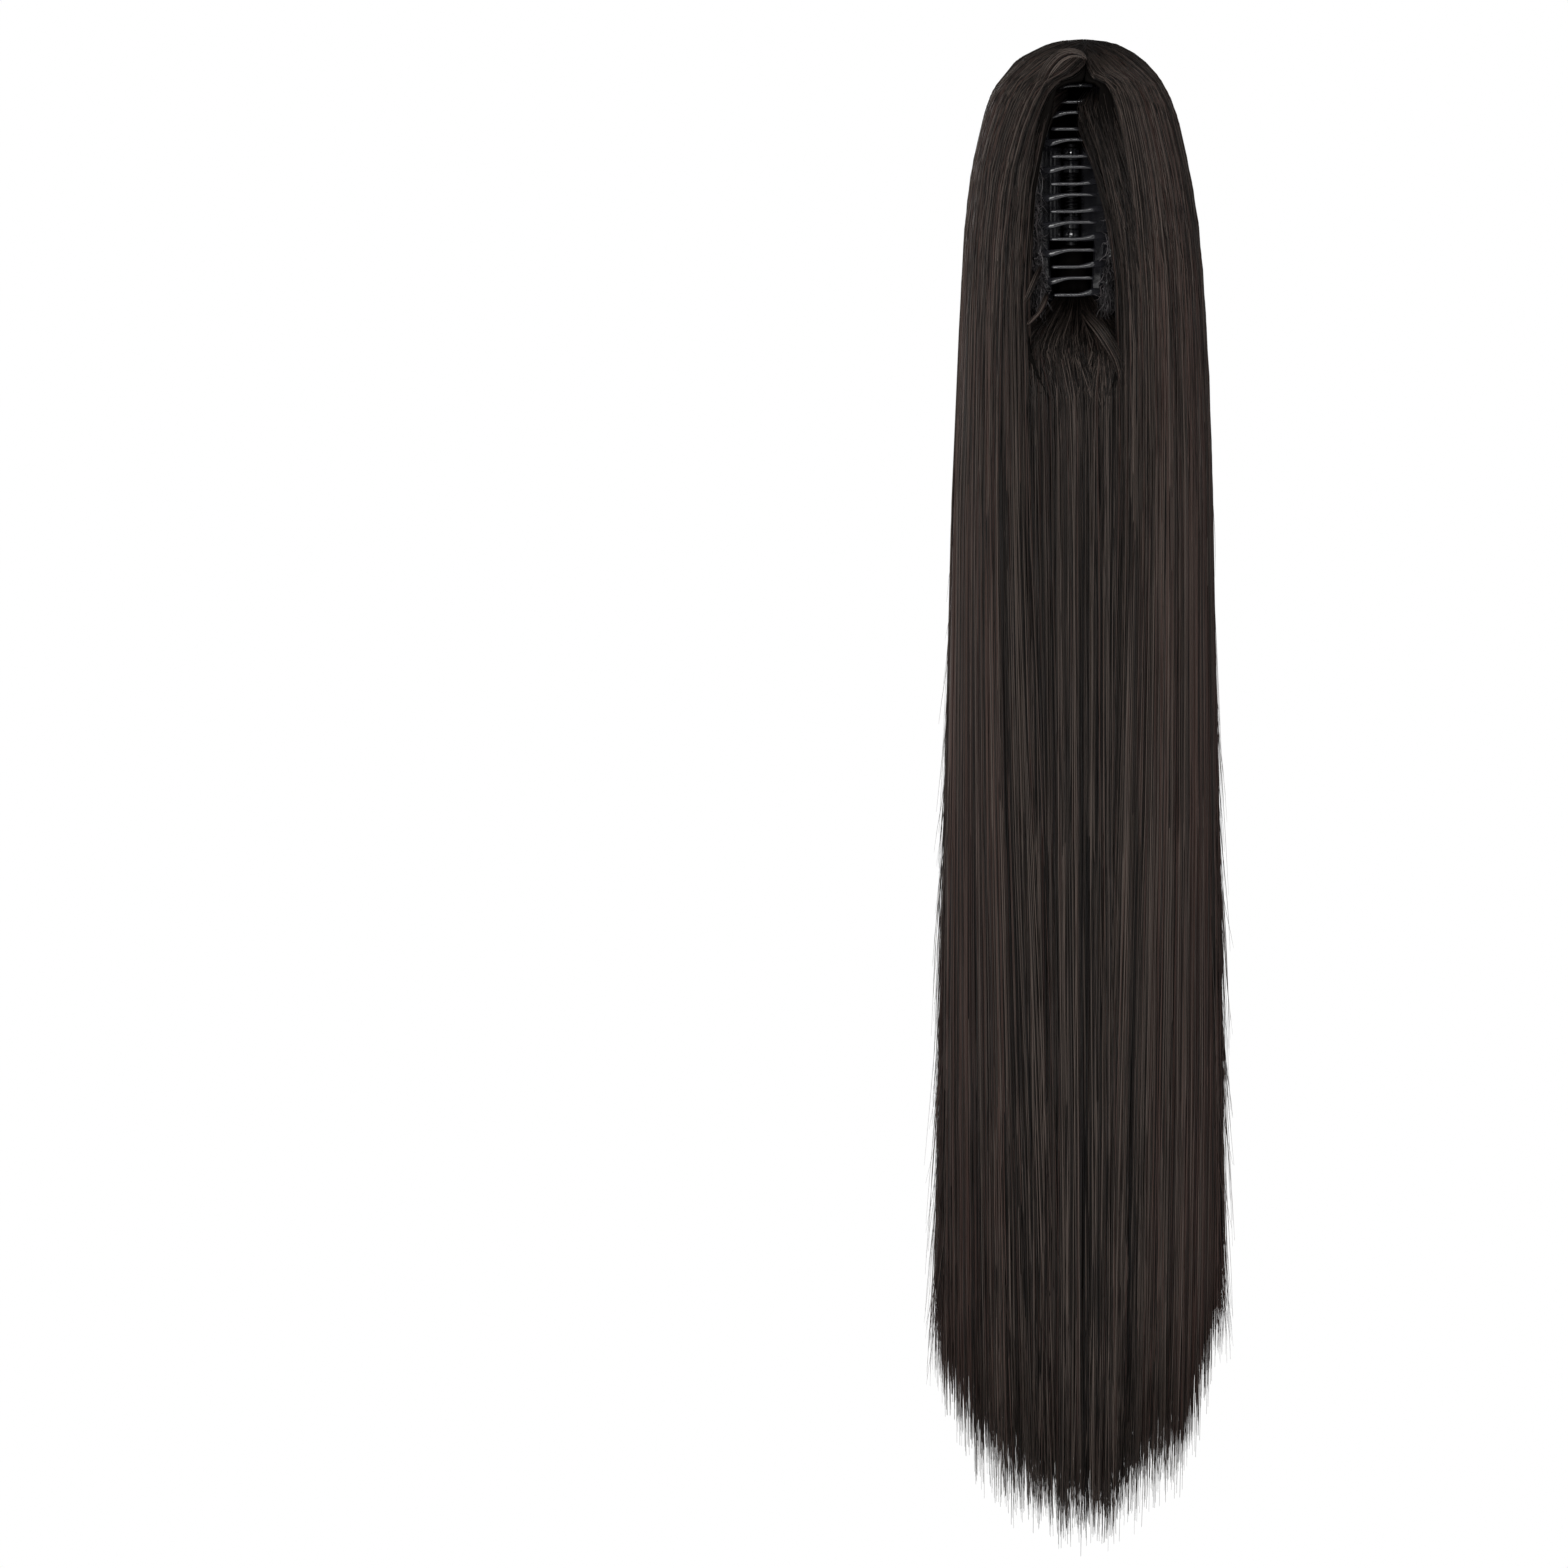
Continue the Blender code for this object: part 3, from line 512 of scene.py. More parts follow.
def strand_paths(rng, side, u, tier):
    """Paths, radii and tints of strands at given places round one side."""
    count = len(u)
    crown = tier == "crown"
    if crown:
        start = 0.004 * rng.random(count) ** 2
    else:
        spread = 0.026 if side > 0 else 0.018
        start = np.where(u < 0.26, 0.010 + spread * rng.random(count), 0.010 + 0.070 * rng.random(count))
        if side > 0:
            start = start + 0.004 * bound(1 - u / 0.12)
    clump, level, clump_u, longer, fine, fine_tint, fine_deep = draw_locks(
        rng, u, CLUMPS_A_SIDE, FINE_LOCKS)
    layer = rng.random(count) * (0.0016 if crown else 0.0024)
    layer = layer + ((u < 0.03) & (not crown)) * 0.005 * rng.random(count)
    end_xy = hair_point(side, u, np.full(count, HAIR_LENGTH * 0.9), np.zeros(count), tier)
    end = tip_drop(end_xy[:, 0]) + longer - early_ends(rng, count) - 0.004 * level
    end = end + lock_lengths(rng, u, TIP_LOCKS)
    steps = (CROWN_STEPS if crown else LIP_STEPS)[None, :] ** (0.86 + 0.28 * rng.random(count))[:, None]
    depth = start[:, None] + (end - start)[:, None] * steps
    share = depth / HAIR_LENGTH
    wave = WAVE * waves(rng, share, 4, 9) * bound(share * 5)
    wave = wave + TIP_BEND * tip_bends(rng, share)
    near = u + ((fine + 0.5) / FINE_LOCKS - u) * 0.3
    first = -0.02 * bound((depth - 0.16) / 0.05)
    place = near[:, None] + (clump_u - near)[:, None] * gather(share)
    place = np.clip(tip_locks(rng, place, share, TIP_LOCKS) + wave, first, 1.012)
    spread = np.abs(u * CLUMPS_A_SIDE - clump - 0.5) * 2
    ridge = 0.00015 * spread[:, None] ** 2 * np.clip(share * 6, 0.1, 1)
    ridge = ridge + 0.0005 * fine_deep[:, None] * np.clip(share * 8, 0.25, 1)
    deep = (level * LAYER_STEP + 0.002 * rng.random(count))[:, None] * bound((share - 0.55) / 0.4)
    tuck = 0.0 if crown else np.where(u < 0.20, DEEP_TUCK, TUCK)[:, None]
    hidden = tuck * np.exp(-(depth - start[:, None]) / 0.013)
    paths = hair_point(side, place, depth, STRAND_RADIUS + layer[:, None] + ridge + deep + hidden, tier)
    if crown:
        paths[..., 0] -= side * 0.0022 * rng.random(count)[:, None] * np.exp(-depth / 0.004)
    else:
        fill_core(rng, paths, level)
    taper = np.interp(steps, (0, 0.004, 0.02, 0.80, 0.94, 1.0), (0.4, 0.8, 1, 1, 0.8, 0.3))
    radii = strand_radii(rng, count, taper)
    tints = bound(0.42 * fine_tint + 0.58 * rng.random(count))
    return paths, radii, tints


def stray_paths(rng, side, count):
    """Short loose ends that stand a little off the sides of the fall."""
    u = np.clip(0.465 + 0.045 * rng.normal(size=count), 0.2, 0.8)
    t = np.linspace(0, 1, 6)[None, :]
    start = 0.16 + 0.42 * rng.random(count) ** 0.6
    length = 0.03 + 0.10 * rng.random(count)
    depth = start[:, None] + length[:, None] * t
    limit = tip_drop(np.full(count, side * 0.064)) - 0.030 * rng.random(count)
    depth = depth + np.minimum(limit - depth[:, -1], 0.0)[:, None]
    paths = hair_point(side, np.broadcast_to(u[:, None], depth.shape), depth,
                       np.full(depth.shape, 0.0008), "lip")
    reach = np.minimum(rng.exponential(0.0022, count), 0.006) * np.clip((start + length) / 0.5, 0.2, 1)
    bend = 0.0008 * np.sin(4 * t + math.tau * rng.random(count)[:, None]) * t
    paths[..., 0] += side * reach[:, None] * t ** 1.3 + bend
    taper = np.interp(t[0], (0, 0.5, 1), (0.9, 0.7, 0.2))
    radii = STRAND_RADIUS * (0.6 + 0.4 * rng.random(count))[:, None] * taper[None, :]
    return paths, radii, rng.random(count)


def low_lock(rng):
    """The short outer lock at the left side that ends above the tips."""
    u = np.clip(0.445 + 0.03 * rng.normal(size=LOW_LOCK_STRANDS), 0.2, 0.8)
    paths, radii, tints = strand_paths(rng, -1, u, "lip")
    share = (CROWN_Z - paths[..., 2]) / HAIR_LENGTH
    out = (0.0004 + 0.0022 * rng.random(LOW_LOCK_STRANDS))[:, None]
    paths[..., 0] -= out * bound((share - 0.45) / 0.4)
    return paths, radii * 0.8, tints


def add_strands(name, groups, material, *nodes):
    """Several groups of outer strands as one piece."""
    piece = mesh_of_tubes(name, [tube_arrays(*group) for group in groups if len(group[0])])
    finish_piece(piece, material, "hair", "hair", *nodes)


def make_outer_hair(material):
    """The outer strands in four meshes, sorted to the three hair nodes."""
    for side, word in ((-1, "left"), (1, "right")):
        rng = np.random.default_rng(11 + side)
        over = even_shares(rng, side, CROWN_STRANDS)
        over = over + 0.06 * rng.random(CROWN_STRANDS) ** 2 * (1 - over)
        groups = [strand_paths(rng, side, over, "crown"),
                  strand_paths(rng, side, even_shares(rng, side, LIP_STRANDS), "lip"),
                  strand_paths(rng, side, 0.04 * rng.random(RIM_STRANDS), "lip"),
                  stray_paths(rng, side, STRAY_STRANDS)]
        if side < 0:
            groups.append(low_lock(rng))
        fronts = []
        backs = []
        for k, (paths, radii, tints) in enumerate(groups):
            front = paths[:, len(radii[0]) // 2, 1] < SEAM_Y
            first = CROWN_ROOT_SHARE if k == 0 else 0.0
            for rows, kept in ((fronts, front), (backs, ~front)):
                rows.append((paths[kept], radii[kept], tints[kept], 3, first))
        add_strands(f"{word}_side_strands", fronts, material, f"side_hair_{word}")
        add_strands(f"{word}_cover_strands", backs, material, "cover_hair")


def deselect():
    """Leave edit mode with nothing selected."""
    if bpy.context.object and bpy.context.object.mode != "OBJECT":
        bpy.ops.object.mode_set(mode="OBJECT")
    bpy.ops.object.select_all(action="DESELECT")


def make_active(piece):
    """Select one piece alone."""
    deselect()
    piece.select_set(True)
    bpy.context.view_layer.objects.active = piece


def apply_modifiers(piece):
    """Apply every modifier of a piece."""
    make_active(piece)
    for modifier in list(piece.modifiers):
        bpy.ops.object.modifier_apply(modifier=modifier.name)


def join_pieces(pieces):
    """Join pieces into the first one."""
    make_active(pieces[0])
    for piece in pieces:
        piece.select_set(True)
    bpy.ops.object.join()


def sheet_of_points(name, points):
    """A grid whose vertices are placed in rows, with a map over it."""
    rows, columns = points.shape[:2]
    deselect()
    bpy.ops.mesh.primitive_grid_add(x_subdivisions=columns - 1, y_subdivisions=rows - 1, size=1)
    piece = bpy.context.object
    piece.name = name
    flat = get_points(piece)
    column = np.rint((flat[:, 0] + 0.5) * (columns - 1)).astype(int)
    row = np.rint((0.5 - flat[:, 1]) * (rows - 1)).astype(int)
    set_points(piece, points[row, column])
    return piece


def face_outwards():
    """Point the active piece's faces outwards."""
    bpy.ops.object.mode_set(mode="EDIT")
    bpy.ops.mesh.select_all(action="SELECT")
    bpy.ops.mesh.normals_make_consistent(inside=False)
    bpy.ops.object.mode_set(mode="OBJECT")


def thicken(piece, wall, offset=-1.0):
    """Give a sheet its wall and apply it."""
    solid = piece.modifiers.new("Wall", "SOLIDIFY")
    solid.thickness = wall
    solid.offset = offset
    apply_modifiers(piece)


def make_under_hair(material):
    """The closed body of hair under the strands, one wall a side."""
    rng = np.random.default_rng(5)
    for side, word in ((-1, "left"), (1, "right")):
        u = np.linspace(0.0, 1.0, UNDER_COLUMNS)
        ragged = 0.80 + 0.035 * rng.random(UNDER_COLUMNS)
        across = np.abs(np.cos(math.pi * u))
        end = HAIR_LENGTH * (ragged - 0.05 * (1 - across))
        t = np.linspace(0.0, 1.0, UNDER_ROWS)[:, None] ** 1.5
        depth = UNDER_TOP + (end[None, :] - UNDER_TOP) * t
        ridge = 0.0010 * np.abs(np.sin(math.pi * CLUMPS_A_SIDE * u / 2)) * bound(t * 4)
        points = hair_point(side, np.broadcast_to(u, depth.shape), depth, UNDER_INSET + ridge, "under")
        if side < 0:
            points = points[:, ::-1]
        piece = sheet_of_points(f"{word}_under_hair", points)
        thicken(piece, UNDER_WALL)
        bpy.ops.object.shade_smooth()
        finish_piece(piece, material, "hair", "hair", f"side_hair_{word}", "cover_hair")


def photo_xz(px, py):
    """A pixel of the photograph as a place across and a height."""
    return (px - PHOTO_ORIGIN[0]) * PHOTO_SCALE, (PHOTO_ORIGIN[1] - py) * PHOTO_SCALE


def front_y(x, z):
    """The hair's front surface at a place across and a height."""
    side, front = reaches(x, -1, CROWN_Z - z)
    share = np.clip(np.abs(x) / side, 0.0, 0.99)
    return -front * (1 - share ** ROUNDNESS) ** (1 / ROUNDNESS)


def guided_lock(rng, stops, count, steps=11):
    """Strands of one small lock along stops given in photograph pixels."""
    table = []
    for k, (px, py, proud, spread) in enumerate(stops):
        x, z = photo_xz(px, py)
        y = float(front_y(np.array(x), np.array(z))) - proud
        table.append((k / (len(stops) - 1), x, y, z, spread))
    first = rng.random(count) * 0.12
    last = 1 - rng.random(count) ** 2 * 0.25
    t = first[:, None] + (last - first)[:, None] * np.linspace(0, 1, steps)[None, :]
    line = smooth_read(np.array(table), t)
    centre = line[..., :3]
    turn = math.tau * rng.random(count)
    away = np.sqrt(rng.random(count))
    drift = 0.5 * rng.normal(size=(count, 1)) * t
    along = unit(np.gradient(centre, axis=1), 0.0)
    across = unit(np.cross(along, np.array((0.0, 1.0, 0.0))), 1e-6)
    over = np.cross(along, across)
    wide = (np.cos(turn) * away)[:, None] + 0.25 * drift
    tall = (np.sin(turn) * away)[:, None] * 0.6
    paths = centre + (across * wide[..., None] + over * tall[..., None]) * line[..., 3:4]
    taper = np.interp(np.linspace(0, 1, steps), (0, 0.08, 0.75, 1), (0.4, 1, 0.9, 0.15))
    return paths, strand_radii(rng, count, taper)


def make_slit_locks(material, tuft_material):
    """The small locks at the parting and at the slit's lower end."""
    for seed, (name, (count, stops)) in enumerate(SLIT_LOCKS.items()):
        rng = np.random.default_rng(40 + seed)
        paths, radii = guided_lock(rng, stops, count)
        piece = tube_mesh(name, paths, radii, rng.random(count))
        finish_piece(piece, tuft_material if name == "parting_lock" else material, "hair", "hair")


def make_inner_hair(material, body_material):
    """Hair that fans out under the claw and joins the front of the fall."""
    rng = np.random.default_rng(23)
    count = INNER_STRANDS
    fan = 2 * rng.random(count) - 1
    clump, level, clump_u, longer, _, fine_tint, fine_deep = draw_locks(
        rng, (fan + 1) / 2, INNER_CLUMPS, INNER_FINE_LOCKS)
    start_z = -0.044 - 0.012 * rng.random(count)
    ends = tip_drop(0.021 * fan) + longer - early_ends(rng, count) - 0.012 * np.abs(fan) ** 3
    ends = ends + lock_lengths(rng, (fan + 1) / 2, INNER_TIP_LOCKS)
    end_z = CROWN_Z - ends
    z = start_z[:, None] + (end_z - start_z)[:, None] * INNER_STEPS[None, :]
    share = (CROWN_Z - z) / HAIR_LENGTH
    width = np.interp(-z, (0.044, 0.054, 0.063, 0.071, 0.085, 0.11, 0.25, 0.60),
                      (0.0065, 0.0140, 0.0215, 0.0248, 0.0262, 0.0262, 0.0245, 0.0215))
    width = width * (0.9 + 0.2 * rng.random(count))[:, None]
    place = fan[:, None] + (2 * clump_u - 1 - fan)[:, None] * gather(share)
    place = 2 * tip_locks(rng, (place + 1) / 2, share, INNER_TIP_LOCKS) - 1
    place += 0.04 * waves(rng, share, 5, 7)
    place += 0.05 * tip_bends(rng, share)
    sway = rng.normal(size=(INNER_CLUMPS, 3))[clump, level][:, None]
    place += 0.16 * sway * np.exp(-((z + 0.068) / 0.014) ** 2)
    x = 0.001 + place * width + 0.002 * bound(-z / 0.3)
    rise = ease(-z, 0.046, 0.074)
    layer = (0.0010 + 0.0026 * rng.random(count))[:, None] + 0.0010 * fine_deep[:, None]
    layer = layer + 0.0030 * bound((0.11 + z) / 0.05)
    layer = layer + (0.0045 * level)[:, None] * bound((share - 0.55) / 0.4)
    hidden_y = -0.004 - 0.010 * rng.random(count)[:, None]
    y = hidden_y * (1 - rise) + (front_y(x, z) + layer) * rise
    paths = np.stack([x, y, z], axis=-1)
    fill_core(rng, paths, level)
    taper = np.interp(INNER_STEPS, (0, 0.02, 0.80, 0.94, 1.0), (0.4, 1, 1, 0.8, 0.3))
    radii = strand_radii(rng, count, taper)
    tints = bound(0.34 * fine_tint + 0.66 * rng.random(count))
    piece = tube_mesh("inner_strands", paths, radii, tints)
    finish_piece(piece, material, "hair", "inner_hair", "inner_hair")
    body = copy_node("inner_hair", "inner_under_hair")
    smooth = body.modifiers.new("Smooth", "SUBSURF")
    smooth.levels = 1
    smooth.render_levels = 1
    apply_modifiers(body)
    bpy.ops.object.shade_smooth()
    finish_piece(body, body_material, "hair", "inner_hair", "inner_hair")


def copy_node(node, name):
    """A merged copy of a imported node's mesh."""
    copy = new_object(name, bpy.data.objects[node].data.copy())
    make_active(copy)
    bpy.ops.object.mode_set(mode="EDIT")
    bpy.ops.mesh.select_all(action="SELECT")
    bpy.ops.mesh.remove_doubles(threshold=0.00001)
    bpy.ops.mesh.tris_convert_to_quads()
    bpy.ops.object.mode_set(mode="OBJECT")
    return copy


def narrowing(z):
    """How much of its full size the claw keeps at a height."""
    return 1 - 0.20 * np.minimum(1.0, np.abs(z) / HALF_CLAW) ** 2.5


def profile_line(rows, t):
    """Places and outward normals along a jaw's profile, t from 0 to 1."""
    table = np.array([(k / (len(rows) - 1), out * CLAW_WIDTH / 2, forward * CLAW_DEPTH)
                      for k, (out, forward) in enumerate(rows)])
    step = 0.002
    ahead = unit(smooth_read(table, bound(t + step)) - smooth_read(table, bound(t - step)))
    return smooth_read(table, t), np.stack([ahead[..., 1], -ahead[..., 0]], axis=-1)


def on_jaw(side, line, z):
    """Points of one jaw from places along its profile and heights."""
    keep = narrowing(z)
    return np.stack([side * line[..., 0] * keep, PIN_Y - line[..., 1] * keep,
                     np.broadcast_to(z, line.shape[:-1])], axis=-1)


def set_points(piece, points):
    """Place a mesh's vertices."""
    piece.data.vertices.foreach_set("co", np.asarray(points, dtype=np.float32).reshape(-1))
    piece.data.update()


def get_points(piece):
    """A mesh's vertices as rows."""
    flat = np.zeros(len(piece.data.vertices) * 3, dtype=np.float32)
    piece.data.vertices.foreach_get("co", flat)
    return flat.reshape(-1, 3).astype(float)


def model_tooth(name):
    """A straight tooth of length 1 along X, thick at its root."""
    deselect()
    bpy.ops.mesh.primitive_circle_add(vertices=12, radius=1.0, fill_type="NGON",
                                      rotation=(0, math.pi / 2, 0))
    tooth = bpy.context.object
    tooth.name = name
    bpy.ops.object.transform_apply()
    bpy.ops.object.mode_set(mode="EDIT")
    bpy.ops.mesh.select_all(action="SELECT")
    bpy.ops.transform.resize(value=(1, JAW_WALL / 2, TOOTH_HEIGHT / 2))
    shares = [k / 26 for k in range(1, 26)] + [0.980, 0.994, 1.0]
    sizes = [0.95 - 0.50 * ease(share, 0.46, 0.68) for share in shares[:25]] + [0.40, 0.26, 0.08]
    place = 0.0
    size = 1.0
    for share, new_size in zip(shares, sizes):
        bpy.ops.mesh.extrude_region_move(TRANSFORM_OT_translate={"value": (share - place, 0, 0)})
        factor = new_size / size
        bpy.ops.transform.resize(value=(1, factor, factor))
        place = share
        size = new_size
    face_outwards()
    bpy.ops.object.shade_smooth()
    return tooth


def make_teeth(side, word, material):
    """One jaw's comb of teeth, copied from one modelled tooth."""
    pattern = model_tooth(f"{word}_comb_teeth")
    shape = get_points(pattern)
    line, normal = profile_line(TOOTH, shape[:, 0])
    first = -(TEETH_PER_JAW - 1) / 2 * TOOTH_PITCH - side * TOOTH_PITCH / 4
    teeth = [pattern] + [new_object("tooth", pattern.data.copy()) for _ in range(TEETH_PER_JAW - 1)]
    for k, tooth in enumerate(teeth):
        z = first + k * TOOTH_PITCH
        points = on_jaw(side, line + normal * shape[:, 1:2], np.array(z))
        points[:, 2] = z + side * TOOTH_TILT * (0.55 - ease(shape[:, 0], 0.44, 0.70)) + shape[:, 2]
        set_points(tooth, points)
    join_pieces(teeth)
    face_outwards()
    finish_piece(pattern, material, f"jaw_{word}", "claw", f"claw_jaw_{word}")


def jaw_wall(side, name, rows, half_height, wall, offset=0.0, columns=15, levels=17):
    """A curved wall along a jaw's profile."""
    t = np.linspace(0, 1, columns)
    z = np.linspace(half_height, -half_height, levels)
    line, normal = profile_line(rows, t)
    line = line + normal * offset
    points = np.stack([on_jaw(side, line, np.array(height)) for height in z])
    piece = sheet_of_points(name, points)
    thicken(piece, wall, 0.0)
    face_outwards()
    return piece


def round_edges(piece, width, segments=2):
    """Round a piece's sharp edges and shade it smooth between them."""
    bevel = piece.modifiers.new("Round", "BEVEL")
    bevel.width = width
    bevel.segments = segments
    bevel.limit_method = "ANGLE"
    bevel.angle_limit = math.radians(40)
    apply_modifiers(piece)
    bpy.ops.object.shade_smooth_by_angle(angle=math.radians(35))


def make_jaw(side, word, material):
    """One half of the claw behind its teeth: wall, plate, lever, knuckles."""
    shell = jaw_wall(side, f"{word}_jaw_shell", PLATE[3:], HALF_CLAW, JAW_WALL)
    pin_top = SPRING_LENGTH / 2 + 2 * KNUCKLE_HEIGHT + 3 * GAP
    parts = [shell, jaw_wall(side, "hinge_plate", PLATE[:5], pin_top - GAP, JAW_WALL)]
    out, forward = PLATE[0]
    start = Vector((side * out * CLAW_WIDTH / 2, PIN_Y - forward * CLAW_DEPTH, 0))
    end = Vector((side * LEVER_SPREAD, PIN_Y + LEVER_REACH, 0))
    t = np.linspace(0, 1, 12)
    half = LEVER_HEIGHT / 2 * np.interp(t, (0, 0.35, 0.75, 0.94, 1), (1, 1, 0.9, 0.72, 0.5))
    run = np.array([start.lerp(end, share) for share in t])
    points = np.stack([run + np.outer(half * up, (0, 0, 1)) for up in np.linspace(1, -1, 9)])
    lever = sheet_of_points("lever", points)
    thicken(lever, JAW_WALL, 0.0)
    parts.append(lever)
    inner_end = SPRING_LENGTH / 2 + GAP
    low = inner_end + KNUCKLE_HEIGHT + GAP if side < 0 else inner_end
    for up in (-1, 1):
        deselect()
        bpy.ops.mesh.primitive_cylinder_add(vertices=28, radius=KNUCKLE_RADIUS, depth=KNUCKLE_HEIGHT,
                                            location=(0, PIN_Y, up * (low + KNUCKLE_HEIGHT / 2)))
        parts.append(bpy.context.object)
    join_pieces(parts)
    bpy.ops.object.transform_apply()
    face_outwards()
    round_edges(shell, 0.0004)
    finish_piece(shell, material, f"jaw_{word}", "claw", f"claw_jaw_{word}")


BAND_ROWS = (PLATE[4], PLATE[5], PLATE[6], TOOTH[1], TOOTH[2])
FRONT_ROWS = (PLATE[6], TOOTH[1], TOOTH[2], TOOTH[3])


def make_weft_band(side, word, material, hair_material):
    """Netting over one jaw: a backing, crossed threads, wefts, wiry hairs."""
    inset = JAW_WALL / 2 + GAP + 0.0009
    half = WEFT_HEIGHT / 2
    band = jaw_wall(side, f"{word}_net_backing", BAND_ROWS, half, NET_WALL, inset, 17, 33)
    round_edges(band, 0.0003, 1)
    finish_piece(band, material, f"jaw_{word}", "netting", f"weft_band_{word}")
    rng = np.random.default_rng(70 + side)
    steps = 16
    t = np.linspace(0.0, 1.0, steps)
    line, normal = profile_line(BAND_ROWS, t)
    paths = []
    radii = []
    for lean in (-1, 1):
        for base in np.linspace(-half - 0.02, half + 0.02, NET_THREADS):
            z = base + lean * NET_LEAN * (t - 0.5)
            if z.min() >= -half and z.max() <= half:
                paths.append(on_jaw(side, line + normal * (inset + 0.0007), z))
                radii.append(np.full(steps, NET_RADIUS))
    for base in np.linspace(-half + 0.002, half - 0.002, WEFTS):
        z = np.full(steps, base) + 0.0003 * np.sin(9 * t + base * 400)
        paths.append(on_jaw(side, line + normal * (inset + 0.0010), z))
        radii.append(np.full(steps, WEFT_RADIUS))
    net = tube_mesh(f"{word}_net_threads", np.array(paths), np.array(radii),
                    rng.random(len(paths)), sides=5)
    finish_piece(net, material, f"jaw_{word}", "netting", f"weft_band_{word}")
    make_wiry_hair(rng, side, word, hair_material, inset)


def make_wiry_hair(rng, side, word, material, inset):
    """Short curved hairs that stand out of the netting beside the teeth."""
    count = WIRY_HAIRS[side]
    place = 0.15 + 0.80 * rng.random(count)
    z = WEFT_HEIGHT * (0.85 * rng.random(count) ** 1.4 - 0.55)
    line, normal = profile_line(FRONT_ROWS, place)
    root = on_jaw(side, line + normal * (inset + 0.0008), z)
    zeros = np.zeros(count)
    out = np.stack([side * normal[:, 0], -normal[:, 1], zeros], axis=-1)
    round_way = np.stack([-side * np.abs(normal[:, 1]), -np.abs(normal[:, 0]), zeros], axis=-1)
    length = (0.004 + 0.007 * rng.random(count))[:, None]
    swing = math.tau * rng.random(count)
    lean = np.stack([0.4 * np.cos(swing), 0.3 * np.sin(swing), -0.7 + 0.9 * rng.normal(size=count)], axis=-1)
    along = np.linspace(0, 1, 7)
    t = along[None, :, None]
    curl, phase = [most * rng.random(count)[:, None, None] for most in (0.0011, math.tau)]
    stand = 0.0016 * np.sin(math.pi * t * 0.85) * narrowing(z)[:, None, None]
    paths = (root[:, None] + out[:, None] * stand
             + ((round_way * 0.25 + lean * 0.75) * length)[:, None] * t
             + curl * np.concatenate([np.sin(7 * t + phase), 0.4 * np.cos(6 * t + phase),
                                      np.cos(8 * t + phase)], axis=-1))
    radii = strand_radii(rng, count, np.interp(along, (0, 0.7, 1), (1, 0.9, 0.2)), WIRY_RADIUS)
    piece = tube_mesh(f"{word}_wiry_hair", paths, radii, rng.random(count))
    finish_piece(piece, material, f"jaw_{word}", "netting", f"weft_band_{word}")


def make_spring(material):
    """The torsion spring's wire, wound round the hinge pin."""
    radius = PIN_RADIUS + GAP + SPRING_WIRE / 2
    steps = 20 * int(SPRING_LENGTH / (1.5 * SPRING_WIRE))
    curve = bpy.data.curves.new("spring_wire", "CURVE")
    curve.dimensions = "3D"
    curve.bevel_depth = SPRING_WIRE / 2
    curve.bevel_resolution = 3
    curve.use_fill_caps = True
    spline = curve.splines.new("POLY")
    spline.points.add(steps)
    for k, point in enumerate(spline.points):
        turn = math.tau * k / 20
        z = (SPRING_LENGTH - SPRING_WIRE) * (k / steps - 0.5)
        point.co = (radius * math.cos(turn), PIN_Y + radius * math.sin(turn), z, 1)
    make_active(new_object("spring_wire", curve))
    bpy.ops.object.convert(target="MESH")
    bpy.ops.object.shade_smooth()
    finish_piece(bpy.context.object, material, "hair", "steel", "torsion_spring")


def new_group(name, inputs, outputs):
    """A shader node group with named sockets."""
    tree = bpy.data.node_groups.new(name, "ShaderNodeTree")
    for label, kind, value in inputs:
        socket = tree.interface.new_socket(name=label, in_out="INPUT", socket_type="NodeSocket" + kind)
        if value is not None:
            socket.default_value = value
    for label, kind in outputs:
        tree.interface.new_socket(name=label, in_out="OUTPUT", socket_type="NodeSocket" + kind)
    return tree, tree.nodes.new("NodeGroupInput").outputs, tree.nodes.new("NodeGroupOutput").inputs


def feed(socket, value):
    """Give a socket a fixed value or another node's output."""
    if isinstance(value, bpy.types.NodeSocket):
        socket.id_data.links.new(value, socket)
    elif value is not None:
        socket.default_value = value


def add_node(tree, kind, settings=None, **inputs):
    """A shader node with its settings and its inputs' values or sources."""
    node = tree.nodes.new("ShaderNode" + kind)
    for label, value in (settings or {}).items():
        setattr(node, label, value)
    for label, value in inputs.items():
        feed(node.inputs[label.replace("_", " ")], value)
    return node


def math_node(operation, first, second=None, clamp=False):
    """A math node fed by sockets or numbers."""
    tree = (second if isinstance(second, bpy.types.NodeSocket) else first).id_data
    node = add_node(tree, "Math", {"operation": operation, "use_clamp": clamp})
    feed(node.inputs[0], first)
    feed(node.inputs[1], second)
    return node.outputs[0]


def add(first, second, clamp=False):
    """A sum of sockets or numbers."""
    return math_node("ADD", first, second, clamp)


def take(first, second, clamp=False):
    """A difference of sockets or numbers."""
    return math_node("SUBTRACT", first, second, clamp)


def times(first, second, clamp=False):
    """A product of sockets or numbers."""
    return math_node("MULTIPLY", first, second, clamp)


def mix_color(factor, first, second):
    """A colour mix fed by sockets or colours."""
    node = add_node(factor.id_data, "Mix", {"data_type": "RGBA"})
    for place, value in ((0, factor), (6, first), (7, second)):
        feed(node.inputs[place], value)
    return node.outputs[2]


def parts_of(vector):
    """The X, Y and Z of a vector socket."""
    return add_node(vector.id_data, "SeparateXYZ", Vector=vector).outputs


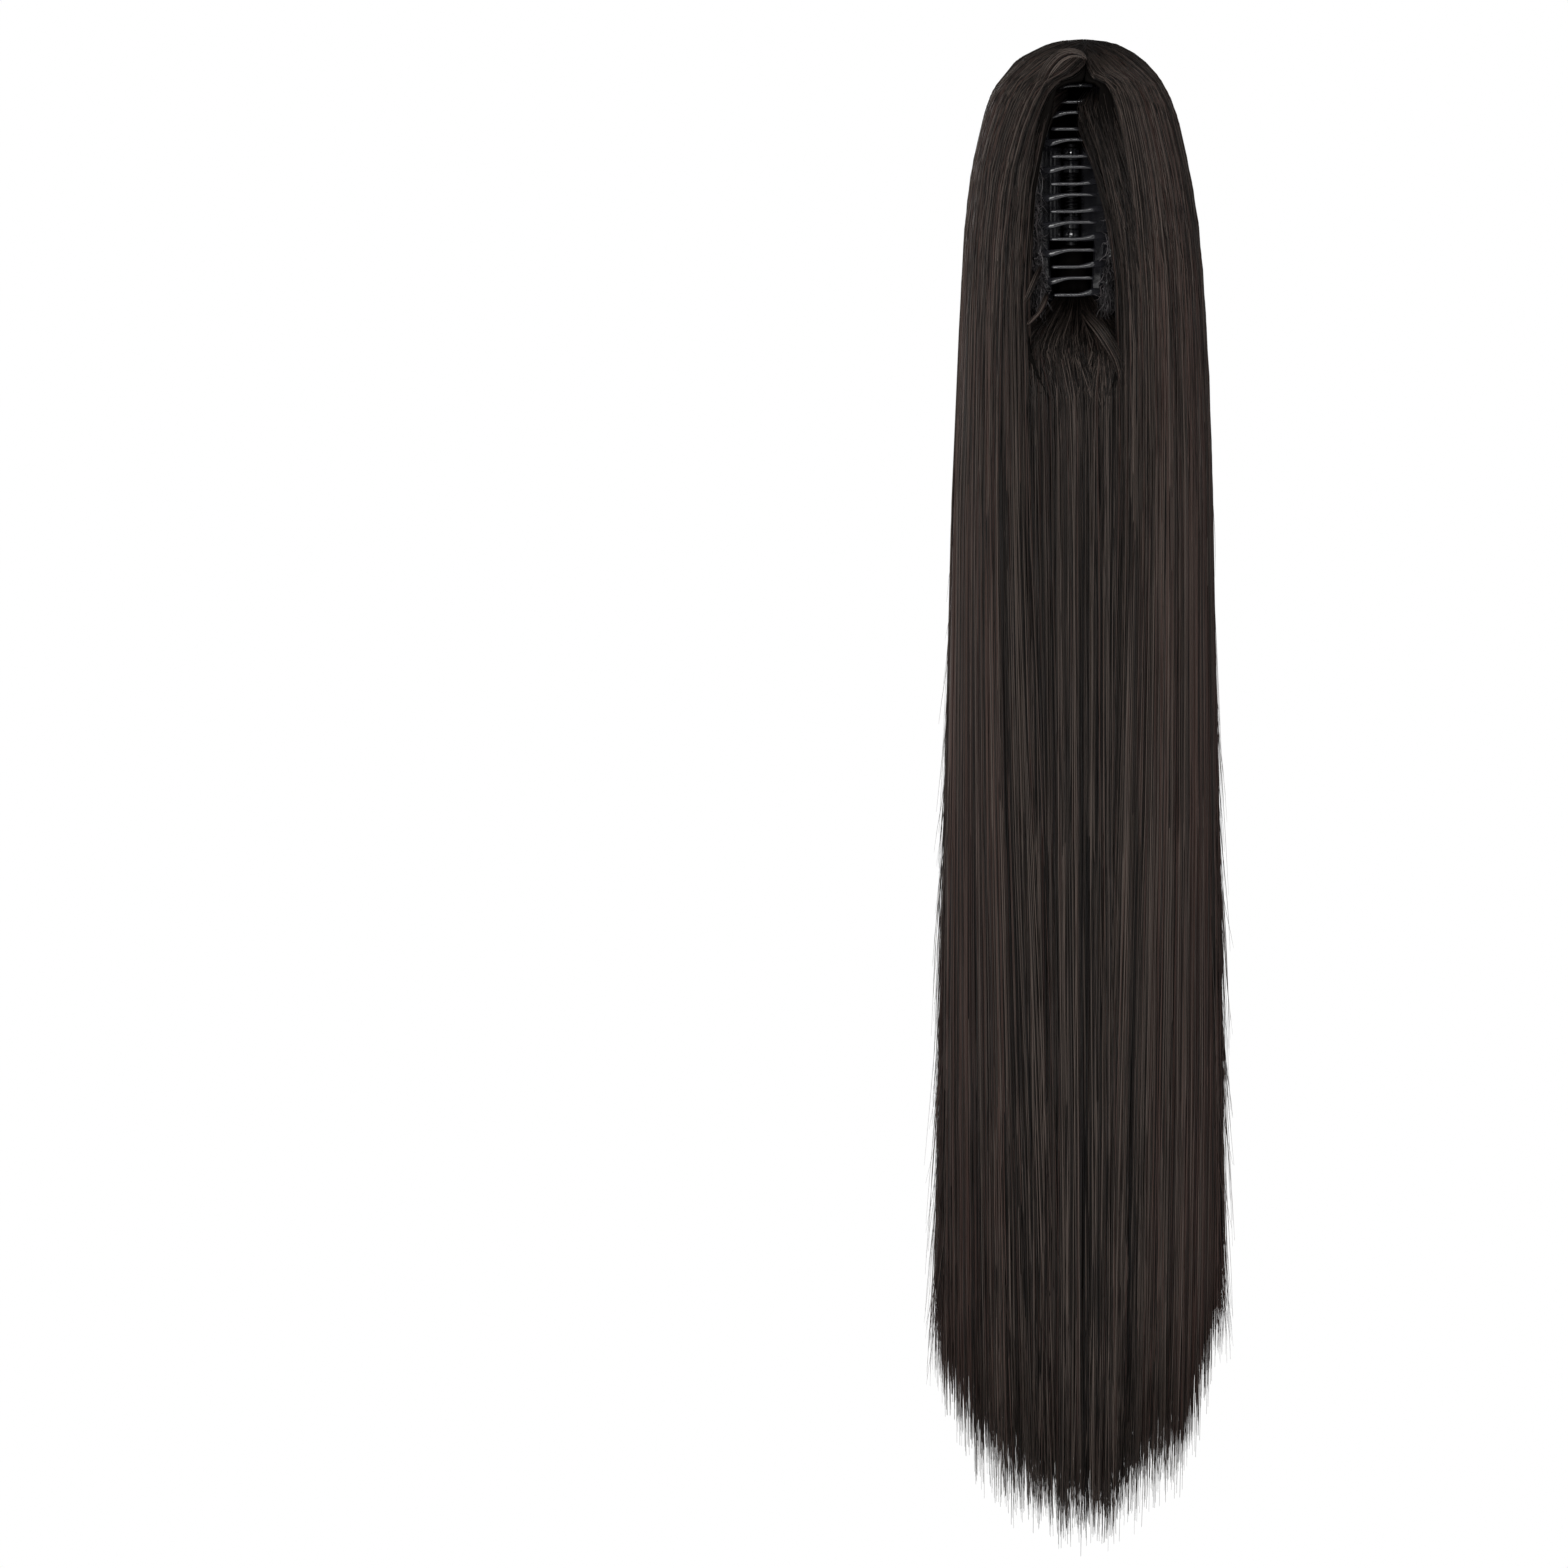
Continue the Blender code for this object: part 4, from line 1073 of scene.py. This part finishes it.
def flat_noise(x, y, detail):
    """Soft noise at a place of a plane."""
    spot = add_node(x.id_data, "CombineXYZ", X=x, Y=y).outputs[0]
    return add_node(x.id_data, "TexNoise", {"noise_dimensions": "2D"}, Vector=spot, Scale=1.0,
                    Detail=detail).outputs["Fac"]


def fibre_group():
    """Tint and gloss of single fibres, from the strand map and the place, with a painted shade near each
    strand's start and a painted reddish sheen towards the hair's sides.
    """
    tree, source, result = new_group(
        "fibre_tint",
        (("Strand", "Float", 0.5), ("Along", "Float", 0.5), ("Place", "Vector", None),
         ("Dark", "Color", None), ("Light", "Color", None), ("Warm", "Color", None),
         ("Root", "Float", 0.0)),
        (("Color", "Color"), ("Roughness", "Float")))
    strand, along, place, dark, light, warm_color, root = list(source)[:7]
    fine, other = [add_node(tree, "TexWhiteNoise", {"noise_dimensions": "1D"},
                            W=times(strand, factor)).outputs["Value"] for factor in (913.0, 517.0)]
    random = add(strand, times(take(fine, 0.5), 0.3), True)
    run = flat_noise(times(strand, 800.0), times(along, 9.0), 1.0)
    stretch = add_node(tree, "VectorMath", {"operation": "MULTIPLY"})
    feed(stretch.inputs[0], place)
    feed(stretch.inputs[1], (150.0, 150.0, 8.0))
    patch = add_node(tree, "TexNoise", Vector=stretch.outputs[0], Scale=1.0, Detail=1.0).outputs["Fac"]
    shade = math_node("POWER", times(take(random, 0.14, True), 1.5), 2.3)
    shade = times(shade, add(run, 0.45))
    uneven = times(take(patch, 0.5), 1.6)
    shade = times(shade, add(uneven, 1.0, True), True)
    # Painted shade: each strand is darkened near its start, by the material's root amount, for the shade at
    # the crown, under the brow over the slit and under the claw.
    near_root = take(1.0, times(along, 2.4, True))
    root_shade = take(1.0, times(root, near_root))
    shade = times(shade, root_shade, True)
    # Warm strands: partly a random warm tone, partly a painted reddish sheen, since more warm strands lie
    # towards the hair's left and right sides.
    edge = times(math_node("ABSOLUTE", parts_of(place)[0]), 17.0)
    edge = take(edge, 0.45, True)
    warm = math_node("GREATER_THAN", add(other, edge), 0.93)
    warm = times(times(warm, 0.65), add(random, 0.25), True)
    warm = times(warm, root_shade)
    feed(result["Color"], mix_color(warm, mix_color(shade, dark, light), warm_color))
    feed(result["Roughness"], add(times(random, 0.14), 0.34))
    return tree


def streak_group():
    """Fine dark and light lines along a mapped surface."""
    tree, source, result = new_group(
        "long_streaks",
        (("Map", "Vector", None), ("Across", "Float", 260.0), ("Along", "Float", 3.0),
         ("Dark", "Color", None), ("Light", "Color", None)),
        (("Color", "Color"), ("Height", "Float")))
    apart = parts_of(source["Map"])
    noise = flat_noise(times(apart[0], source["Across"]),
                       times(apart[1], source["Along"]), 3.0)
    feed(result["Color"], mix_color(noise, source["Dark"], source["Light"]))
    feed(result["Height"], noise)
    return tree


def wear_group():
    """Fine unevenness and dust of a smooth hard surface."""
    tree, source, result = new_group(
        "fine_wear",
        (("Place", "Vector", None), ("Scale", "Float", 300.0), ("Base", "Color", None),
         ("Dust", "Color", None), ("Smooth", "Float", 0.16), ("Rough", "Float", 0.32)),
        (("Color", "Color"), ("Roughness", "Float"), ("Height", "Float")))
    noise = add_node(tree, "TexNoise", Vector=source["Place"], Scale=source["Scale"],
                     Detail=4.0).outputs["Fac"]
    worn = times(take(noise, 0.45), 2.2, True)
    feed(result["Color"], mix_color(times(worn, 0.35), source["Base"], source["Dust"]))
    span = take(source["Rough"], source["Smooth"])
    feed(result["Roughness"], add(times(worn, span), source["Smooth"]))
    feed(result["Height"], noise)
    return tree


def new_material(name, specular, **fixed):
    """A material with its shader, and fixed shader values."""
    material = bpy.data.materials.new(name)
    material.use_nodes = True
    tree = material.node_tree
    shader = tree.nodes["Principled BSDF"]
    shader.inputs["Specular IOR Level"].default_value = specular
    for label, value in fixed.items():
        shader.inputs[label.replace("_", " ")].default_value = value
    return material, tree, shader.inputs


def place_group(tree, group, **inputs):
    """The outputs of a group node with its own values or sources."""
    node = tree.nodes.new("ShaderNodeGroup")
    node.node_tree = group
    for label, value in inputs.items():
        feed(node.inputs[label], value)
    return node.outputs


def relief(height, depth):
    """A fine relief from a height."""
    return add_node(height.id_data, "Bump", Distance=depth, Height=height).outputs["Normal"]


def fibre_material(name, group, dark, light, warm, specular, root=0.0):
    """Glossy fibres whose tint changes from strand to strand, with a painted shade near each strand's start
    as strong as root.
    """
    material, tree, shader = new_material(name, specular)
    strand = parts_of(add_node(tree, "UVMap", {"uv_map": "strand"}).outputs[0])
    place = add_node(tree, "TexCoord").outputs["Object"]
    look = place_group(tree, group, Dark=(*dark, 1), Light=(*light, 1), Warm=(*warm, 1), Root=root,
                       Strand=strand[0], Along=strand[1], Place=place)
    feed(shader["Base Color"], look["Color"])
    feed(shader["Roughness"], look["Roughness"])
    return material


def streak_material(name, group, dark, light):
    """The body under the strands: dark fibre lines with a fine relief, their darkness partly painted shade.
    """
    material, tree, shader = new_material(name, 0.06, Roughness=0.75)
    look = place_group(tree, group, Dark=(*dark, 1), Light=(*light, 1),
                       Map=add_node(tree, "TexCoord").outputs["UV"])
    feed(shader["Base Color"], look["Color"])
    feed(shader["Normal"], relief(look["Height"], 0.0006))
    return material


def hard_material(name, group, base, dust, smooth, rough, scale, metallic=0.0, depth=0.00002,
                  specular=0.5):
    """Plastic, metal or thread with fine wear."""
    material, tree, shader = new_material(name, specular, Metallic=metallic)
    look = place_group(tree, group, Base=(*base, 1), Dust=(*dust, 1), Smooth=smooth, Rough=rough,
                       Scale=scale, Place=add_node(tree, "TexCoord").outputs["Object"])
    feed(shader["Base Color"], look["Color"])
    feed(shader["Roughness"], look["Roughness"])
    feed(shader["Normal"], relief(look["Height"], depth))
    return material


def make_floor():
    """A plain pale floor under the hanging piece."""
    deselect()
    bpy.ops.mesh.primitive_cylinder_add(vertices=96, radius=1.2, depth=0.02, location=(0, 0, FLOOR_Z))
    floor = bpy.context.object
    floor.name = "floor"
    bpy.ops.object.transform_apply()
    material = new_material("pale_floor", 0.2, Roughness=0.8, Emission_Strength=0.22,
                            Emission_Color=WHITE, Base_Color=(0.82, 0.82, 0.82, 1))[0]
    floor.data.materials.append(material)


def make_light(lamp):
    """A large soft lamp that faces a point."""
    data = bpy.data.lights.new(lamp.name, "AREA")
    data.shape = "RECTANGLE"
    data.size, data.size_y = lamp.size
    data.energy = lamp.energy
    piece = new_object(lamp.name, data)
    piece.location = lamp.place
    piece.rotation_euler = (Vector(lamp.target) - Vector(lamp.place)).to_track_quat("-Z", "Y").to_euler()


def make_world():
    """White behind the piece, and a dimmer even light from all round."""
    world = bpy.data.worlds.new("studio")
    bpy.context.scene.world = world
    world.use_nodes = True
    tree = world.node_tree
    tree.nodes.clear()
    seen, lit = [add_node(tree, "Background", Strength=strength, Color=WHITE).outputs[0]
                 for strength in (WHITE_SEEN, WHITE_LIT)]
    mix = add_node(tree, "MixShader")
    for socket, value in zip(mix.inputs, (add_node(tree, "LightPath").outputs["Is Camera Ray"], lit, seen)):
        tree.links.new(value, socket)
    add_node(tree, "OutputWorld", Surface=mix.outputs[0])


def make_camera():
    """The photograph's level view, with the piece where it stands there."""
    x, z = photo_xz(PHOTO_SIZE / 2, PHOTO_SIZE / 2)
    data = bpy.data.cameras.new("camera")
    data.sensor_width = 36.0
    data.lens = data.sensor_width * CAMERA_DISTANCE / (PHOTO_SIZE * PHOTO_SCALE)
    data.clip_end = 50.0
    camera = new_object("camera", data)
    camera.location = (x, -CAMERA_DISTANCE, z)
    camera.rotation_euler = (math.pi / 2, 0, 0)
    bpy.context.scene.camera = camera


make_camera()
make_world()
make_floor()
for LAMP in LAMPS:
    make_light(LAMP)
bpy.context.scene.view_settings.view_transform = "Standard"

FIBRE = fibre_group()
STREAKS = streak_group()
WEAR = wear_group()
# Painted shade: the last number of the hair, loose and inner fibres darkens each strand near its start, for
# the shade at the crown, under the brow over the slit and under the claw.
HAIR = fibre_material("dark_brown_fibre", FIBRE, DARK, LIGHT, WARM, 0.18, 0.90)
TUFT = fibre_material("loose_fibre", FIBRE, (0.012, 0.010, 0.009), (0.200, 0.160, 0.138), WARM,
                      0.22, 0.40)
INNER = fibre_material("inner_fibre", FIBRE, DARK, LIGHT, WARM, 0.20, 0.75)
WIRY = fibre_material("wiry_fibre", FIBRE, (0.014, 0.013, 0.014), (0.19, 0.175, 0.18),
                      (0.10, 0.08, 0.08), 0.4)
# Painted shade: the body under the strands is much darker than the strands' own colour, so that the gaps
# between strands and the arch over the slit read as shade.
UNDER_SHADE = streak_material("under_fibre", STREAKS, (0.0012, 0.0010, 0.0009), (0.008, 0.0065, 0.0055))
PLASTIC = hard_material("moulded_black_plastic", WEAR, (0.022, 0.022, 0.026), (0.042, 0.042, 0.047),
                        0.08, 0.20, 260.0, specular=1.0)
STEEL = hard_material("drawn_steel", WEAR, (0.060, 0.060, 0.063), (0.045, 0.044, 0.043),
                      0.50, 0.62, 900.0, metallic=1.0)
NET = hard_material("black_thread", WEAR, (0.014, 0.013, 0.015), (0.038, 0.036, 0.039),
                    0.6, 0.85, 2600.0, depth=0.00012)

make_outer_hair(HAIR)
make_under_hair(UNDER_SHADE)
make_slit_locks(INNER, TUFT)
make_inner_hair(INNER, UNDER_SHADE)
for SIDE, WORD in ((-1, "left"), (1, "right")):
    make_teeth(SIDE, WORD, PLASTIC)
    make_jaw(SIDE, WORD, PLASTIC)
    make_weft_band(SIDE, WORD, NET, WIRY)
make_spring(STEEL)
bpy.data.objects["hinge_pin"].data.materials.clear()
bpy.data.objects["hinge_pin"].data.materials.append(STEEL)
